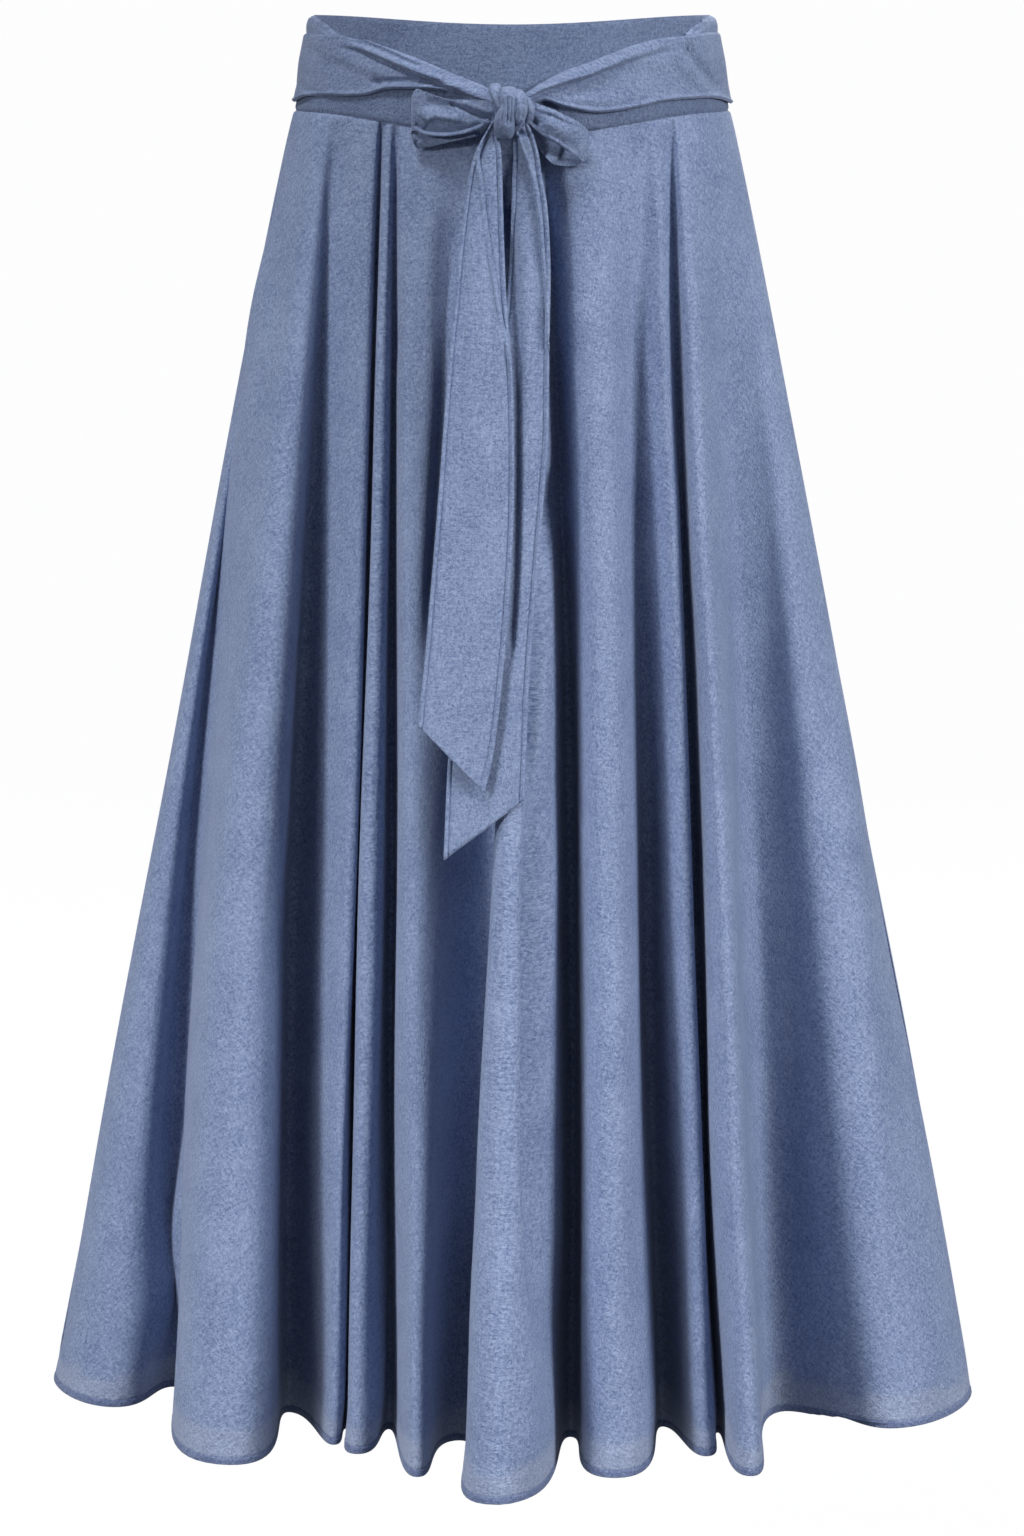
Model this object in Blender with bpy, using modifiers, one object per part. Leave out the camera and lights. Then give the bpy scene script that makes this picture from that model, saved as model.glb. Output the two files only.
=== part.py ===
"""Chambray skirt: a fitted yoke, a flared skirt in deep flutes, and a sash tied in a bow in front.

The skirt is shown filled out, as it hangs from a waist. Metres in the scene, millimetres in this file's
tables. +Z is up and the front faces -Y. The origin is the middle of the waist, level with the top edge at
the sides. A turn is an angle round the waist in degrees: 0 at the front, 90 at the wearer's left side (+X),
180 behind. Run with: blender --background --python part.py
"""
import math

import bmesh
import bpy
import numpy as np

MM = 0.001

# Half widths of the yoke's outer face, at its top edge and at the seam under it
WAIST_ACROSS = 132.5
WAIST_DEEP = 100.5
SEAM_ACROSS = 145.2
SEAM_DEEP = 111.5

# Heights of the yoke's edges and of the hem
SEAM_LOW_SIDE = 62.5
SEAM_DIP_FRONT = 14.0
SEAM_DIP_BACK = 6.0
TOP_DIP_FRONT = 6.0
TOP_DIP_BACK = 9.0
HEM_LOW = 943.3

# How far the hem stands out in front and behind if it had no flutes, and how much wider than a straight
# fall the sides are a quarter of the way down
HEM_DEEP = 200.0
SIDE_FLARE = 2.8

# How sharply the seam dips in front and behind, and the top edge
SEAM_DIP_POWER = 4.5
TOP_DIP_FRONT_POWER = 4
TOP_DIP_BACK_POWER = 2

# Walls and the room left between pieces
CLOTH = 1.5
SASH_WALL = 1.4
ROOM = 0.3
SEAM_ROOM = 0.42

# Steps in each mesh
YOKE_COLUMNS = 44
YOKE_ROWS = 2
FLUTE_STEPS = 5
SEAM_STEP = 0.04
SKIRT_ROWS = 8
ROW_POWER = 1.35

# The skirt's crests and valleys, in order from the left side round the front to the right side.
# start is the turn where the fold leaves the yoke. across and ahead place it on the hem, in front of the
# waist's middle. way is the direction of the hem line there and sweep how far it runs on that way, so a
# large sweep makes a round full head. growth under 1 makes a fold that is deep soon under the yoke. bow is
# how far the fold stands aside of a straight fall, half way down.
FOLD_COLUMNS = ("name", "start", "across", "ahead", "way", "sweep", "growth", "bow")
FRONT_FOLDS = (
    ("side crest left", -90.0, -321.0, -25.0, -90.0, 105.0, 1.0, 2.0),
    ("crest 1", -85.0, -272.0, 54.0, 2.0, 72.0, 1.0, -11.0),
    ("valley 1", -80.0, -236.0, 4.0, 8.0, 46.0, 2.0, -18.0),
    ("crest 2", -60.0, -194.0, 186.0, -18.0, 180.0, 0.9, -10.0),
    ("valley 2", -50.5, -152.0, 66.0, -14.0, 52.0, 0.7, -8.0),
    ("crest 3", -38.8, -119.5, 142.0, -6.0, 28.0, 0.75, 1.0),
    ("valley 3", -35.6, -111.5, 104.0, 0.0, 18.0, 0.45, 0.0),
    ("crest 4", -33.0, -103.0, 163.0, -5.0, 52.0, 0.7, 0.0),
    ("valley 4", -30.8, -83.0, 106.0, 0.0, 24.0, 0.6, 0.0),
    ("crest 5", -25.5, -62.0, 214.0, -2.0, 44.0, 0.9, 0.0),
    ("valley 5", -0.5, -35.0, 132.0, 0.0, 76.0, 0.6, 5.5),
    ("crest 6", 4.6, -9.0, 271.0, 4.0, 150.0, 1.0, 0.0),
    ("valley 6", 8.0, 39.0, 124.0, 0.0, 44.0, 0.55, 8.0),
    ("crest 7", 20.0, 68.0, 216.0, 2.0, 112.0, 0.9, 2.0),
    ("valley 7", 33.0, 102.0, 100.0, -8.0, 36.0, 0.9, -4.0),
    ("crest 8", 39.3, 129.0, 168.0, 5.0, 40.0, 0.6, 0.0),
    ("valley 8", 45.3, 138.5, 114.0, 8.0, 20.0, 0.6, -4.0),
    ("crest 9", 50.0, 157.0, 212.0, 10.0, 62.0, 0.9, -1.0),
    ("valley 9", 66.0, 191.0, 60.0, 3.0, 118.0, 1.2, 0.0),
    ("crest 10", 79.0, 260.0, 104.0, 10.0, 90.0, 1.0, 0.0),
    ("side crest right", 90.0, 319.0, 10.0, 88.0, 120.0, 1.0, 0.0),
)
# The hidden half goes on from there behind, back to the left side.
BACK_FOLDS = (
    ("side crest right", 90.0, 319.0, 10.0, 88.0, 120.0, 1.0, 0.0),
    ("valley 11", 98.0, 254.0, -50.0, 98.0, 52.0, 1.0, 0.0),
    ("crest 12", 107.0, 288.0, -104.0, 114.0, 84.0, 1.0, 0.0),
    ("valley 12", 115.0, 214.0, -100.0, 122.0, 54.0, 1.0, 0.0),
    ("crest 13", 124.0, 234.0, -176.0, 136.0, 92.0, 1.0, 0.0),
    ("valley 13", 133.0, 158.0, -118.0, 138.0, 50.0, 0.9, 0.0),
    ("crest 14", 142.0, 164.0, -218.0, 152.0, 92.0, 1.0, 0.0),
    ("valley 14", 151.0, 98.0, -138.0, 158.0, 48.0, 0.9, 0.0),
    ("crest 15", 160.0, 88.0, -246.0, 168.0, 94.0, 1.0, 0.0),
    ("valley 15", 169.0, 42.0, -146.0, 174.0, 48.0, 0.9, 0.0),
    ("crest 16", 179.0, 2.0, -256.0, 180.0, 104.0, 1.0, 0.0),
    ("valley 16", 188.0, -40.0, -150.0, 184.0, 50.0, 0.9, 0.0),
    ("crest 17", 198.0, -84.0, -246.0, 191.0, 102.0, 1.0, 0.0),
    ("valley 17", 208.0, -106.0, -142.0, 202.0, 50.0, 0.9, 0.0),
    ("crest 18", 218.0, -168.0, -214.0, 210.0, 100.0, 1.0, 0.0),
    ("valley 18", 228.0, -162.0, -112.0, 222.0, 50.0, 1.0, 0.0),
    ("crest 19", 238.0, -244.0, -160.0, 230.0, 104.0, 1.0, 0.0),
    ("valley 19", 252.0, -242.0, -72.0, 252.0, 62.0, 1.1, 0.0),
    ("side crest left", 270.0, -321.0, -25.0, 270.0, 105.0, 1.0, 2.0),
)

# The sash in front of the yoke, from the side to the knot. top and low are its edges' heights under the
# waist, out_top and out_low how far its face stands off the yoke there, roll the height of the turned-over
# fold along its top edge and share the part of its width that this fold takes.
SASH_COLUMNS = ("turn", "top", "low", "out_top", "out_low", "roll", "share")
SASH_LEFT = (
    (-100.0, 12.6, 57.5, 3.8, 2.2, 0.0, 0.20),
    (-84.0, 12.3, 57.0, 3.8, 2.3, 0.0, 0.20),
    (-70.0, 12.5, 53.2, 3.8, 2.4, 0.0, 0.20),
    (-57.0, 12.4, 52.2, 3.8, 2.4, 0.0, 0.20),
    (-48.0, 15.4, 52.3, 2.6, 2.4, 1.2, 0.18),
    (-41.0, 17.7, 51.4, 2.4, 2.4, 2.6, 0.24),
    (-34.0, 22.1, 47.9, 2.4, 2.4, 3.2, 0.36),
    (-28.0, 26.4, 47.6, 2.6, 2.5, 3.6, 0.48),
    (-21.5, 31.7, 47.8, 3.2, 3.0, 4.0, 0.64),
    (-14.0, 38.6, 50.0, 4.6, 4.0, 4.0, 0.90),
    (-9.0, 43.0, 53.8, 6.6, 6.0, 3.6, 1.0),
    (-3.0, 50.0, 58.0, 11.0, 11.0, 1.5, 1.0),
)
SASH_RIGHT = (
    (100.0, 12.6, 58.0, 3.8, 2.4, 0.0, 0.20),
    (86.0, 11.6, 58.4, 3.8, 2.7, 0.0, 0.20),
    (74.0, 11.2, 55.6, 3.8, 2.6, 0.0, 0.20),
    (65.0, 11.6, 54.0, 3.8, 2.4, 0.0, 0.20),
    (55.0, 13.4, 54.2, 3.8, 2.4, 0.0, 0.20),
    (44.0, 15.3, 55.3, 2.6, 2.4, 0.6, 0.20),
    (35.0, 19.2, 58.8, 2.4, 2.6, 1.4, 0.24),
    (28.0, 24.2, 61.4, 2.4, 2.8, 2.4, 0.26),
    (21.0, 30.0, 62.4, 2.6, 3.0, 3.4, 0.30),
    (13.0, 36.6, 58.6, 4.0, 4.0, 4.0, 0.38),
    (8.0, 42.6, 54.6, 7.0, 7.0, 3.4, 0.52),
    (3.0, 50.0, 58.0, 11.0, 11.0, 1.5, 0.60),
)
SASH_BACK_TURNS = (100.3, 259.7)
SASH_BACK_TOP = (12.6, 16.0)
SASH_BACK_LOW = (57.8, 60.0)
SASH_BACK_OUT = 2.4
SASH_PLEATS = 3
SASH_PLEAT_HIGH = 1.2
SASH_SETTLE_FROM = 0.35
SASH_SETTLE_OVER = 0.45
SASH_SIDE_OUT = 1.4
SASH_COLUMNS_LONG = 24
SASH_ROWS = 7

# The sash's turned-in edge, which shows above it at each side
TUCK_LEFT_TURNS = (-57.0, -112.0)
TUCK_RIGHT_TURNS = (56.0, 112.0)
TUCK_TOP = 0.6
TUCK_LOW = 23.0
TUCK_OUT = 1.75
TUCK_WALL = 1.3
TUCK_SLOPE_PART = 0.42
TUCK_SLOPE_DROP = 11.5
TUCK_COLUMNS = 8
TUCK_ROWS = 3

# The knot, as parts of its half size: a raised wrap down its front, a shoulder at its right and a slow wave
KNOT_MIDDLE = (0.0, -127.5, -60.6)
KNOT_HALF = (15.2, 13.6, 17.0)
KNOT_WRAP_HIGH = 0.07
KNOT_WRAP_PLACE = -0.12
KNOT_WRAP_WIDE = 0.30
KNOT_SHOULDER_HIGH = 0.05
KNOT_SHOULDER_PLACE = 0.55
KNOT_SHOULDER_WIDE = 0.22
KNOT_SHOULDER_TALL = 0.7
KNOT_WAVE_HIGH = 0.03
KNOT_WAVES = 3.0
KNOT_WAVE_START = 0.6
KNOT_RINGS = 14
KNOT_SEGMENTS = 20

# The bow's loops, from the knot to the tip. Heights are under the waist, of the front layer and of the
# layer behind it. ahead is the loop's middle in front of the waist's middle, half its half thickness.
LOOP_COLUMNS = ("across", "top", "low", "back_top", "back_low", "ahead", "half")
LOOP_LEFT = (
    (-5.0, 58.0, 63.0, 59.0, 64.0, 126.5, 1.6),
    (-13.0, 55.0, 68.0, 56.0, 71.0, 125.5, 2.6),
    (-20.0, 54.0, 72.0, 55.0, 76.0, 123.5, 4.2),
    (-30.0, 53.8, 75.0, 54.5, 78.8, 121.0, 5.6),
    (-42.0, 53.4, 76.8, 54.0, 81.4, 117.5, 6.2),
    (-54.0, 49.6, 76.6, 53.0, 84.2, 113.0, 5.2),
    (-61.0, 47.0, 74.0, 52.0, 85.2, 109.8, 3.6),
)
LOOP_RIGHT = (
    (5.0, 58.0, 64.0, 59.0, 66.0, 126.5, 1.6),
    (12.0, 55.2, 70.0, 57.0, 76.0, 125.5, 2.8),
    (18.0, 57.0, 74.8, 60.0, 86.0, 124.0, 4.4),
    (26.0, 60.0, 79.8, 64.0, 94.4, 121.6, 5.6),
    (35.0, 64.4, 85.4, 69.0, 96.3, 118.8, 5.8),
    (42.0, 67.8, 90.2, 73.0, 95.8, 116.6, 4.8),
    (46.0, 71.0, 93.6, 76.0, 94.8, 115.2, 3.4),
)
LOOP_CROWN = 1.2
LOOP_LONG = 11
LOOP_TURN = 6
LOOP_ROWS = 5

# The sash's hanging ends. left and right are the edges, each across the front and under the waist, and
# fold is where the front flap ends, as a part of the width.
TAIL_COLUMNS = ("left", "left_low", "right", "right_low", "fold")
TAIL_LEFT = (
    (-8.0, 63.0, -3.5, 63.0, 0.1),
    (-14.5, 71.0, -9.0, 72.0, 0.1),
    (-22.9, 87.1, -7.2, 89.0, 0.13),
    (-28.0, 105.7, -6.6, 105.0, 0.40),
    (-33.5, 148.3, -5.4, 146.0, 0.68),
    (-37.0, 186.2, -3.6, 186.0, 0.88),
    (-41.5, 232.8, 0.2, 234.0, 1.05),
    (-47.0, 306.4, 1.0, 306.0, 1.2),
    (-51.5, 360.0, -1.6, 364.0, 1.3),
    (-55.6, 407.8, -5.8, 415.0, 1.3),
    (-58.7, 437.0, -11.6, 465.0, 1.3),
    (-60.0, 451.1, -17.7, 493.8, 1.3),
)
TAIL_RIGHT = (
    (1.5, 63.0, 5.5, 63.0, 0.1),
    (0.4, 72.0, 12.0, 73.0, 0.1),
    (1.3, 87.8, 16.7, 88.0, 0.38),
    (0.6, 101.8, 18.8, 101.8, 0.62),
    (0.0, 126.0, 22.8, 126.0, 0.72),
    (-2.0, 163.8, 24.5, 163.8, 0.84),
    (-6.0, 200.0, 23.9, 200.0, 0.95),
    (-12.0, 237.6, 23.5, 237.6, 1.1),
    (-20.0, 277.0, 22.6, 276.9, 1.2),
    (-30.0, 350.0, 16.7, 349.9, 1.3),
    (-37.0, 423.0, 10.9, 422.8, 1.3),
    (-40.9, 474.7, 9.2, 462.0, 1.3),
    (-43.8, 537.3, 7.7, 499.4, 1.3),
)
TAIL_LONG = 26
TAIL_ROWS = 6
TAIL_CAMBER = 1.8
FLAP_STEP = 1.8
TAIL_LEFT_CLEAR = 10.4
TAIL_RIGHT_CLEAR = 5.4
TAIL_LEFT_START = 131.0
TAIL_RIGHT_START = 129.0
TAIL_LEAVE = 3.0
FLAP_EDGE = 0.16

CHAMBRAY = (0.17, 0.23, 0.40, 1.0)
CHAMBRAY_SASH = (0.20, 0.26, 0.43, 1.0)


def clear_scene():
    for old in list(bpy.data.objects):
        bpy.data.objects.remove(old, do_unlink=True)


def cloth_material(name, colour):
    material = bpy.data.materials.new(name)
    material.use_nodes = True
    shader = material.node_tree.nodes["Principled BSDF"]
    shader.inputs["Base Color"].default_value = colour
    shader.inputs["Roughness"].default_value = 0.75
    shader.inputs["Metallic"].default_value = 0.0
    return material


def column(rows, names, name):
    """One named column of a table, as an array."""
    return np.array([row[names.index(name)] for row in rows], dtype=float)


def smooth_through(stations, values, at):
    """The value at each place on a smooth curve through a table's rows, whose stations rise."""
    slopes = np.gradient(values, stations)
    at = np.clip(at, stations[0], stations[-1])
    left = np.clip(np.searchsorted(stations, at, side="right") - 1, 0, len(stations) - 2)
    span = stations[left + 1] - stations[left]
    u = (at - stations[left]) / span
    start = (2 * u**3 - 3 * u**2 + 1) * values[left] + (u**3 - 2 * u**2 + u) * span * slopes[left]
    end = (3 * u**2 - 2 * u**3) * values[left + 1] + (u**3 - u**2) * span * slopes[left + 1]
    return start + end


def ease(share):
    share = np.clip(share, 0.0, 1.0)
    return share * share * (3.0 - 2.0 * share)


def seam_height(turn):
    facing = np.cos(np.radians(turn))
    dip = np.where(facing > 0, SEAM_DIP_FRONT, SEAM_DIP_BACK) * np.abs(facing) ** SEAM_DIP_POWER
    return -(SEAM_LOW_SIDE + dip)


def top_height(turn):
    facing = np.cos(np.radians(turn))
    front = -TOP_DIP_FRONT * facing**TOP_DIP_FRONT_POWER
    back = -TOP_DIP_BACK * facing**TOP_DIP_BACK_POWER
    return np.where(facing > 0, front, back)


def on_yoke(turn, height, out):
    """A point off the yoke's outer face by out, at a turn round the waist and a height."""
    share = -height / SEAM_LOW_SIDE
    across = WAIST_ACROSS + (SEAM_ACROSS - WAIST_ACROSS) * share
    deep = WAIST_DEEP + (SEAM_DEEP - WAIST_DEEP) * share
    sine, cosine = np.sin(np.radians(turn)), np.cos(np.radians(turn))
    away = np.stack([sine / across, -cosine / deep], axis=-1)
    away = away / np.linalg.norm(away, axis=-1, keepdims=True)
    x = across * sine + out * away[..., 0]
    y = -deep * cosine + out * away[..., 1]
    return np.stack([x, y, height + 0.0 * x], axis=-1)


def sheet_object(name, points, wall, material, side=-1.0):
    """A grid of points, rows by columns, as a sheet of cloth with a wall's thickness."""
    rows, columns = points.shape[0], points.shape[1]
    mesh = bpy.data.meshes.new(name)
    bm = bmesh.new()
    bmesh.ops.create_grid(bm, x_segments=columns - 1, y_segments=rows - 1, size=1.0)
    bm.verts.ensure_lookup_table()
    for place, vertex in zip(points.reshape(-1, 3), bm.verts):
        vertex.co = place * MM
    bmesh.ops.triangulate(bm, faces=bm.faces[:], quad_method="FIXED")
    bm.to_mesh(mesh)
    bm.free()
    piece = bpy.data.objects.new(name, mesh)
    mesh.materials.append(material)
    mesh.shade_smooth()
    skirt_collection().objects.link(piece)
    wall_modifier = piece.modifiers.new("wall", "SOLIDIFY")
    wall_modifier.thickness = wall * MM
    wall_modifier.offset = side
    wall_modifier.use_even_offset = False
    return piece


def skirt_collection():
    collection = bpy.data.collections.get("chambray skirt")
    if collection is None:
        collection = bpy.data.collections.new("chambray skirt")
        bpy.context.scene.collection.children.link(collection)
    return collection


def cutter_collection():
    collection = bpy.data.collections.get("room for the knot")
    if collection is None:
        collection = bpy.data.collections.new("room for the knot")
        bpy.context.scene.collection.children.link(collection)
    return collection


def make_yoke(name, first, last, material):
    inset = math.degrees(0.5 * ROOM / SEAM_ACROSS)
    turns = np.linspace(first + inset, last - inset, YOKE_COLUMNS + 1)
    share = np.linspace(1.0, 0.0, YOKE_ROWS + 1)[:, None]
    low = seam_height(turns) + 0.5 * SEAM_ROOM
    heights = top_height(turns) * (1 - share) + low * share
    points = on_yoke(turns[None, :] + 0 * heights, heights, 0.0)
    return sheet_object(name, points, CLOTH, material)


def fold_line(folds, steps):
    """Columns along the skirt: turn at the yoke, place on the hem, place straight down, growth and bow."""
    start = column(folds, FOLD_COLUMNS, "start")
    across = column(folds, FOLD_COLUMNS, "across")
    ahead = column(folds, FOLD_COLUMNS, "ahead")
    way = np.radians(column(folds, FOLD_COLUMNS, "way"))
    sweep = column(folds, FOLD_COLUMNS, "sweep")
    growth = column(folds, FOLD_COLUMNS, "growth")
    place = np.stack([across, -ahead], axis=-1)
    pull = np.stack([np.cos(way), np.sin(way)], axis=-1) * sweep[:, None]
    stations = np.arange(len(folds), dtype=float)
    even = np.linspace(0.0, stations[-1], steps * (len(folds) - 1) + 1)
    at = np.sort(np.concatenate([even, [SEAM_STEP, stations[-1] - SEAM_STEP]]))
    left = np.clip(at.astype(int), 0, len(folds) - 2)
    u = (at - left)[:, None]
    hem = (2 * u**3 - 3 * u**2 + 1) * place[left] + (u**3 - 2 * u**2 + u) * pull[left]
    hem = hem + (3 * u**2 - 2 * u**3) * place[left + 1] + (u**3 - u**2) * pull[left + 1]
    turn = smooth_through(stations, start, at)
    straight = np.stack([smooth_through(stations, across, at), -HEM_DEEP * np.cos(np.radians(turn))], axis=-1)
    bow = smooth_through(stations, column(folds, FOLD_COLUMNS, "bow"), at)
    return turn, hem, straight, np.interp(at, stations, growth), bow


def skirt_points(folds, steps, shares):
    """The skirt's outer face, row by row from the hem up to the yoke's seam."""
    turn, hem, straight, growth, bow = fold_line(folds, steps)
    seam = seam_height(turn) - 0.5 * SEAM_ROOM
    top = on_yoke(turn, np.full_like(turn, -SEAM_LOW_SIDE), 0.0)
    rows = []
    for share in shares:
        plan = (1 - share) * top[:, :2] + share * straight + (hem - straight) * (share**growth)[:, None]
        plan[:, 0] += 4 * share * (1 - share) * bow
        plan[:, 0] += 4 * (math.sqrt(share) - share) * SIDE_FLARE * np.sin(np.radians(turn))
        height = (1 - share) * seam - share * HEM_LOW
        rows.append(np.concatenate([plan, height[:, None]], axis=-1))
    return np.array(rows)


def make_skirt(name, folds, material):
    shares = np.linspace(1.0, 0.0, SKIRT_ROWS + 1) ** ROW_POWER
    points = part_at_side(skirt_points(folds, FLUTE_STEPS, shares))
    return sheet_object(name, points, CLOTH, material)


def part_at_side(points):
    """Moves the first and last column in by half of the room that the side seam keeps."""
    for edge, inner in ((0, 1), (-1, -2)):
        step = points[:, inner] - points[:, edge]
        length = np.linalg.norm(step, axis=-1, keepdims=True)
        points[:, edge] += step / length * 0.5 * ROOM
    return points


def settled(share):
    """How far the sash has come down from the turned edge under it, from 0 to 1 across its width."""
    return ease((share - SASH_SETTLE_FROM) / SASH_SETTLE_OVER)


def make_sash_front(name, rows, material):
    turns = column(rows, SASH_COLUMNS, "turn")
    stations = np.arange(len(rows), dtype=float)
    at = np.linspace(0.0, stations[-1], SASH_COLUMNS_LONG + 1)
    turn = smooth_through(stations, turns, at)
    values = {key: smooth_through(stations, column(rows, SASH_COLUMNS, key), at) for key in SASH_COLUMNS[1:]}
    if turn[0] > 0:
        turn = turn[::-1]
        values = {key: value[::-1] for key, value in values.items()}
    share = np.linspace(1.0, 0.0, SASH_ROWS + 1)[:, None]
    height = -(values["top"] * (1 - share) + values["low"] * share)
    settle = settled(share)
    out = values["out_top"] * (1 - settle) + values["out_low"] * settle
    in_roll = np.clip(share / values["share"], 0.0, 1.0)
    out = out + values["roll"] * np.sin(math.pi * in_roll)
    points = on_yoke(turn[None, :] + 0 * height, height, out)
    return sheet_object(name, points, SASH_WALL, material)


def make_sash_back(name, material):
    along = np.linspace(0.0, 1.0, SASH_COLUMNS_LONG + 1)
    turns = SASH_BACK_TURNS[0] + (SASH_BACK_TURNS[1] - SASH_BACK_TURNS[0]) * along
    behind = np.sin(math.pi * along)
    top = SASH_BACK_TOP[0] + (SASH_BACK_TOP[1] - SASH_BACK_TOP[0]) * behind
    low = SASH_BACK_LOW[0] + (SASH_BACK_LOW[1] - SASH_BACK_LOW[0]) * behind
    share = np.linspace(1.0, 0.0, SASH_ROWS + 1)[:, None]
    height = -(top * (1 - share) + low * share)
    pleats = SASH_PLEAT_HIGH * behind * np.sin(SASH_PLEATS * math.pi * share) ** 2
    at_side = (1.0 - behind) * (1 - settled(share)) * SASH_SIDE_OUT
    points = on_yoke(turns[None, :] + 0 * height, height, SASH_BACK_OUT + pleats + at_side)
    return sheet_object(name, points, SASH_WALL, material)


def make_tuck(name, turns, material):
    """The edge of the sash that lies under the front stretch, sloping down to it at the front."""
    first, last = turns
    along = np.linspace(0.0, 1.0, TUCK_COLUMNS + 1)
    turn = first + (last - first) * along
    risen = np.sin(0.5 * math.pi * np.clip(along / TUCK_SLOPE_PART, 0.0, 1.0))
    top = TUCK_TOP + (1 - risen) * TUCK_SLOPE_DROP - top_height(turn)
    if turn[0] > turn[-1]:
        turn, top = turn[::-1], top[::-1]
    share = np.linspace(1.0, 0.0, TUCK_ROWS + 1)[:, None]
    height = -(top * (1 - share) + TUCK_LOW * share)
    points = on_yoke(turn[None, :] + 0 * height, height, TUCK_OUT)
    return sheet_object(name, points, TUCK_WALL, material)


def bell(distance, wide):
    return math.exp(-((distance / wide) ** 2))


def knot_mesh(name, grow):
    """A lumpy round knot: a ball with a raised wrap down its front and a waist where the loops leave."""
    mesh = bpy.data.meshes.new(name)
    bm = bmesh.new()
    bmesh.ops.create_uvsphere(bm, u_segments=KNOT_SEGMENTS, v_segments=KNOT_RINGS, radius=1.0)
    for vertex in bm.verts:
        x, y, z = vertex.co
        wrap = KNOT_WRAP_HIGH * bell(x - KNOT_WRAP_PLACE, KNOT_WRAP_WIDE) * max(-y, 0.0)
        shoulder = bell(x - KNOT_SHOULDER_PLACE, KNOT_SHOULDER_WIDE) * bell(z, KNOT_SHOULDER_TALL)
        wave = KNOT_WAVE_HIGH * math.cos(KNOT_WAVES * z + KNOT_WAVE_START)
        size = 1.0 + wrap + KNOT_SHOULDER_HIGH * shoulder - wave
        half = [side * size + grow for side in KNOT_HALF]
        vertex.co = [(middle + side * part) * MM for middle, side, part in zip(KNOT_MIDDLE, half, (x, y, z))]
    bmesh.ops.triangulate(bm, faces=bm.faces[:])
    bm.to_mesh(mesh)
    bm.free()
    return mesh


def make_knot(name, material):
    mesh = knot_mesh(name, 0.0)
    mesh.materials.append(material)
    mesh.shade_smooth()
    knot = bpy.data.objects.new(name, mesh)
    skirt_collection().objects.link(knot)
    return knot


def make_knot_room():
    """A cutter a little larger than the knot, where the strips of cloth enter it."""
    room = bpy.data.objects.new("knot room", knot_mesh("knot room", ROOM))
    room.hide_render = True
    room.display_type = "WIRE"
    cutter_collection().objects.link(room)
    return room


def cut_by(piece, room):
    cut = piece.modifiers.new("knot room", "BOOLEAN")
    cut.operation = "DIFFERENCE"
    cut.solver = "EXACT"
    cut.object = room


def loop_points(rows):
    """A band of cloth from the knot out to the tip, round it and back behind, as rows by columns."""
    stations = np.arange(len(rows), dtype=float)
    at = np.linspace(0.0, stations[-1], LOOP_LONG + 1)
    value = {key: smooth_through(stations, column(rows, LOOP_COLUMNS, key), at) for key in LOOP_COLUMNS}
    round_turn = np.linspace(-90.0, 90.0, LOOP_TURN + 1)[1:-1]
    sign = 1.0 if rows[-1][0] > 0 else -1.0
    tip = {key: value[key][-1] for key in LOOP_COLUMNS}
    tip_x = tip["across"] + sign * tip["half"] * np.cos(np.radians(round_turn))
    tip_ahead = tip["ahead"] - tip["half"] * np.sin(np.radians(round_turn))
    behind = ease((round_turn + 90.0) / 180.0)
    tip_top = tip["top"] * (1 - behind) + tip["back_top"] * behind
    tip_low = tip["low"] * (1 - behind) + tip["back_low"] * behind
    x = np.concatenate([value["across"], tip_x, value["across"][::-1]])
    in_front, behind_it = value["ahead"] + value["half"], value["ahead"] - value["half"]
    ahead = np.concatenate([in_front, tip_ahead, behind_it[::-1]])
    top = np.concatenate([value["top"], tip_top, value["back_top"][::-1]])
    low = np.concatenate([value["low"], tip_low, value["back_low"][::-1]])
    share = np.linspace(1.0, 0.0, LOOP_ROWS + 1)[:, None]
    height = -(top * (1 - share) + low * share)
    middle = np.interp(np.abs(x), np.abs(value["across"]), value["ahead"])
    crown = LOOP_CROWN * np.sin(math.pi * share) * np.sign(ahead - middle)
    points = np.stack([x + 0 * height, -(ahead + crown), height], axis=-1)
    return points if sign < 0 else points[:, ::-1]


def make_loop(name, rows, material):
    return sheet_object(name, loop_points(rows), SASH_WALL, material, 0.0)


def skirt_ahead(low):
    """How far the skirt's middle flute stands out in front at a height under the waist."""
    crest = column(FRONT_FOLDS, FOLD_COLUMNS, "ahead").max()
    seam_low = SEAM_LOW_SIDE + SEAM_DIP_FRONT
    share = np.clip((low - seam_low) / (HEM_LOW - seam_low), 0.0, 1.0)
    return SEAM_DEEP + (crest - SEAM_DEEP) * share


def tail_points(rows, clear, start, front_first):
    stations = np.arange(len(rows), dtype=float)
    at = np.linspace(0.0, stations[-1], TAIL_LONG + 1)
    value = {key: smooth_through(stations, column(rows, TAIL_COLUMNS, key), at) for key in TAIL_COLUMNS}
    share = np.linspace(0.0, 1.0, TAIL_ROWS + 1)
    x = value["left"][:, None] * (1 - share) + value["right"][:, None] * share
    low = value["left_low"][:, None] * (1 - share) + value["right_low"][:, None] * share
    hang = skirt_ahead(low) + clear
    ahead = np.logaddexp(hang / TAIL_LEAVE, start / TAIL_LEAVE) * TAIL_LEAVE
    flap = ease((share - value["fold"][:, None]) / FLAP_EDGE + 0.5)
    if not front_first:
        flap = 1 - flap
    ahead = ahead - FLAP_STEP * flap - TAIL_CAMBER * (2 * share - 1) ** 2
    return np.stack([x, -ahead, -low], axis=-1)[::-1]


def make_tail(name, rows, clear, start, front_first, material):
    return sheet_object(name, tail_points(rows, clear, start, front_first), SASH_WALL, material, 0.0)


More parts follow.
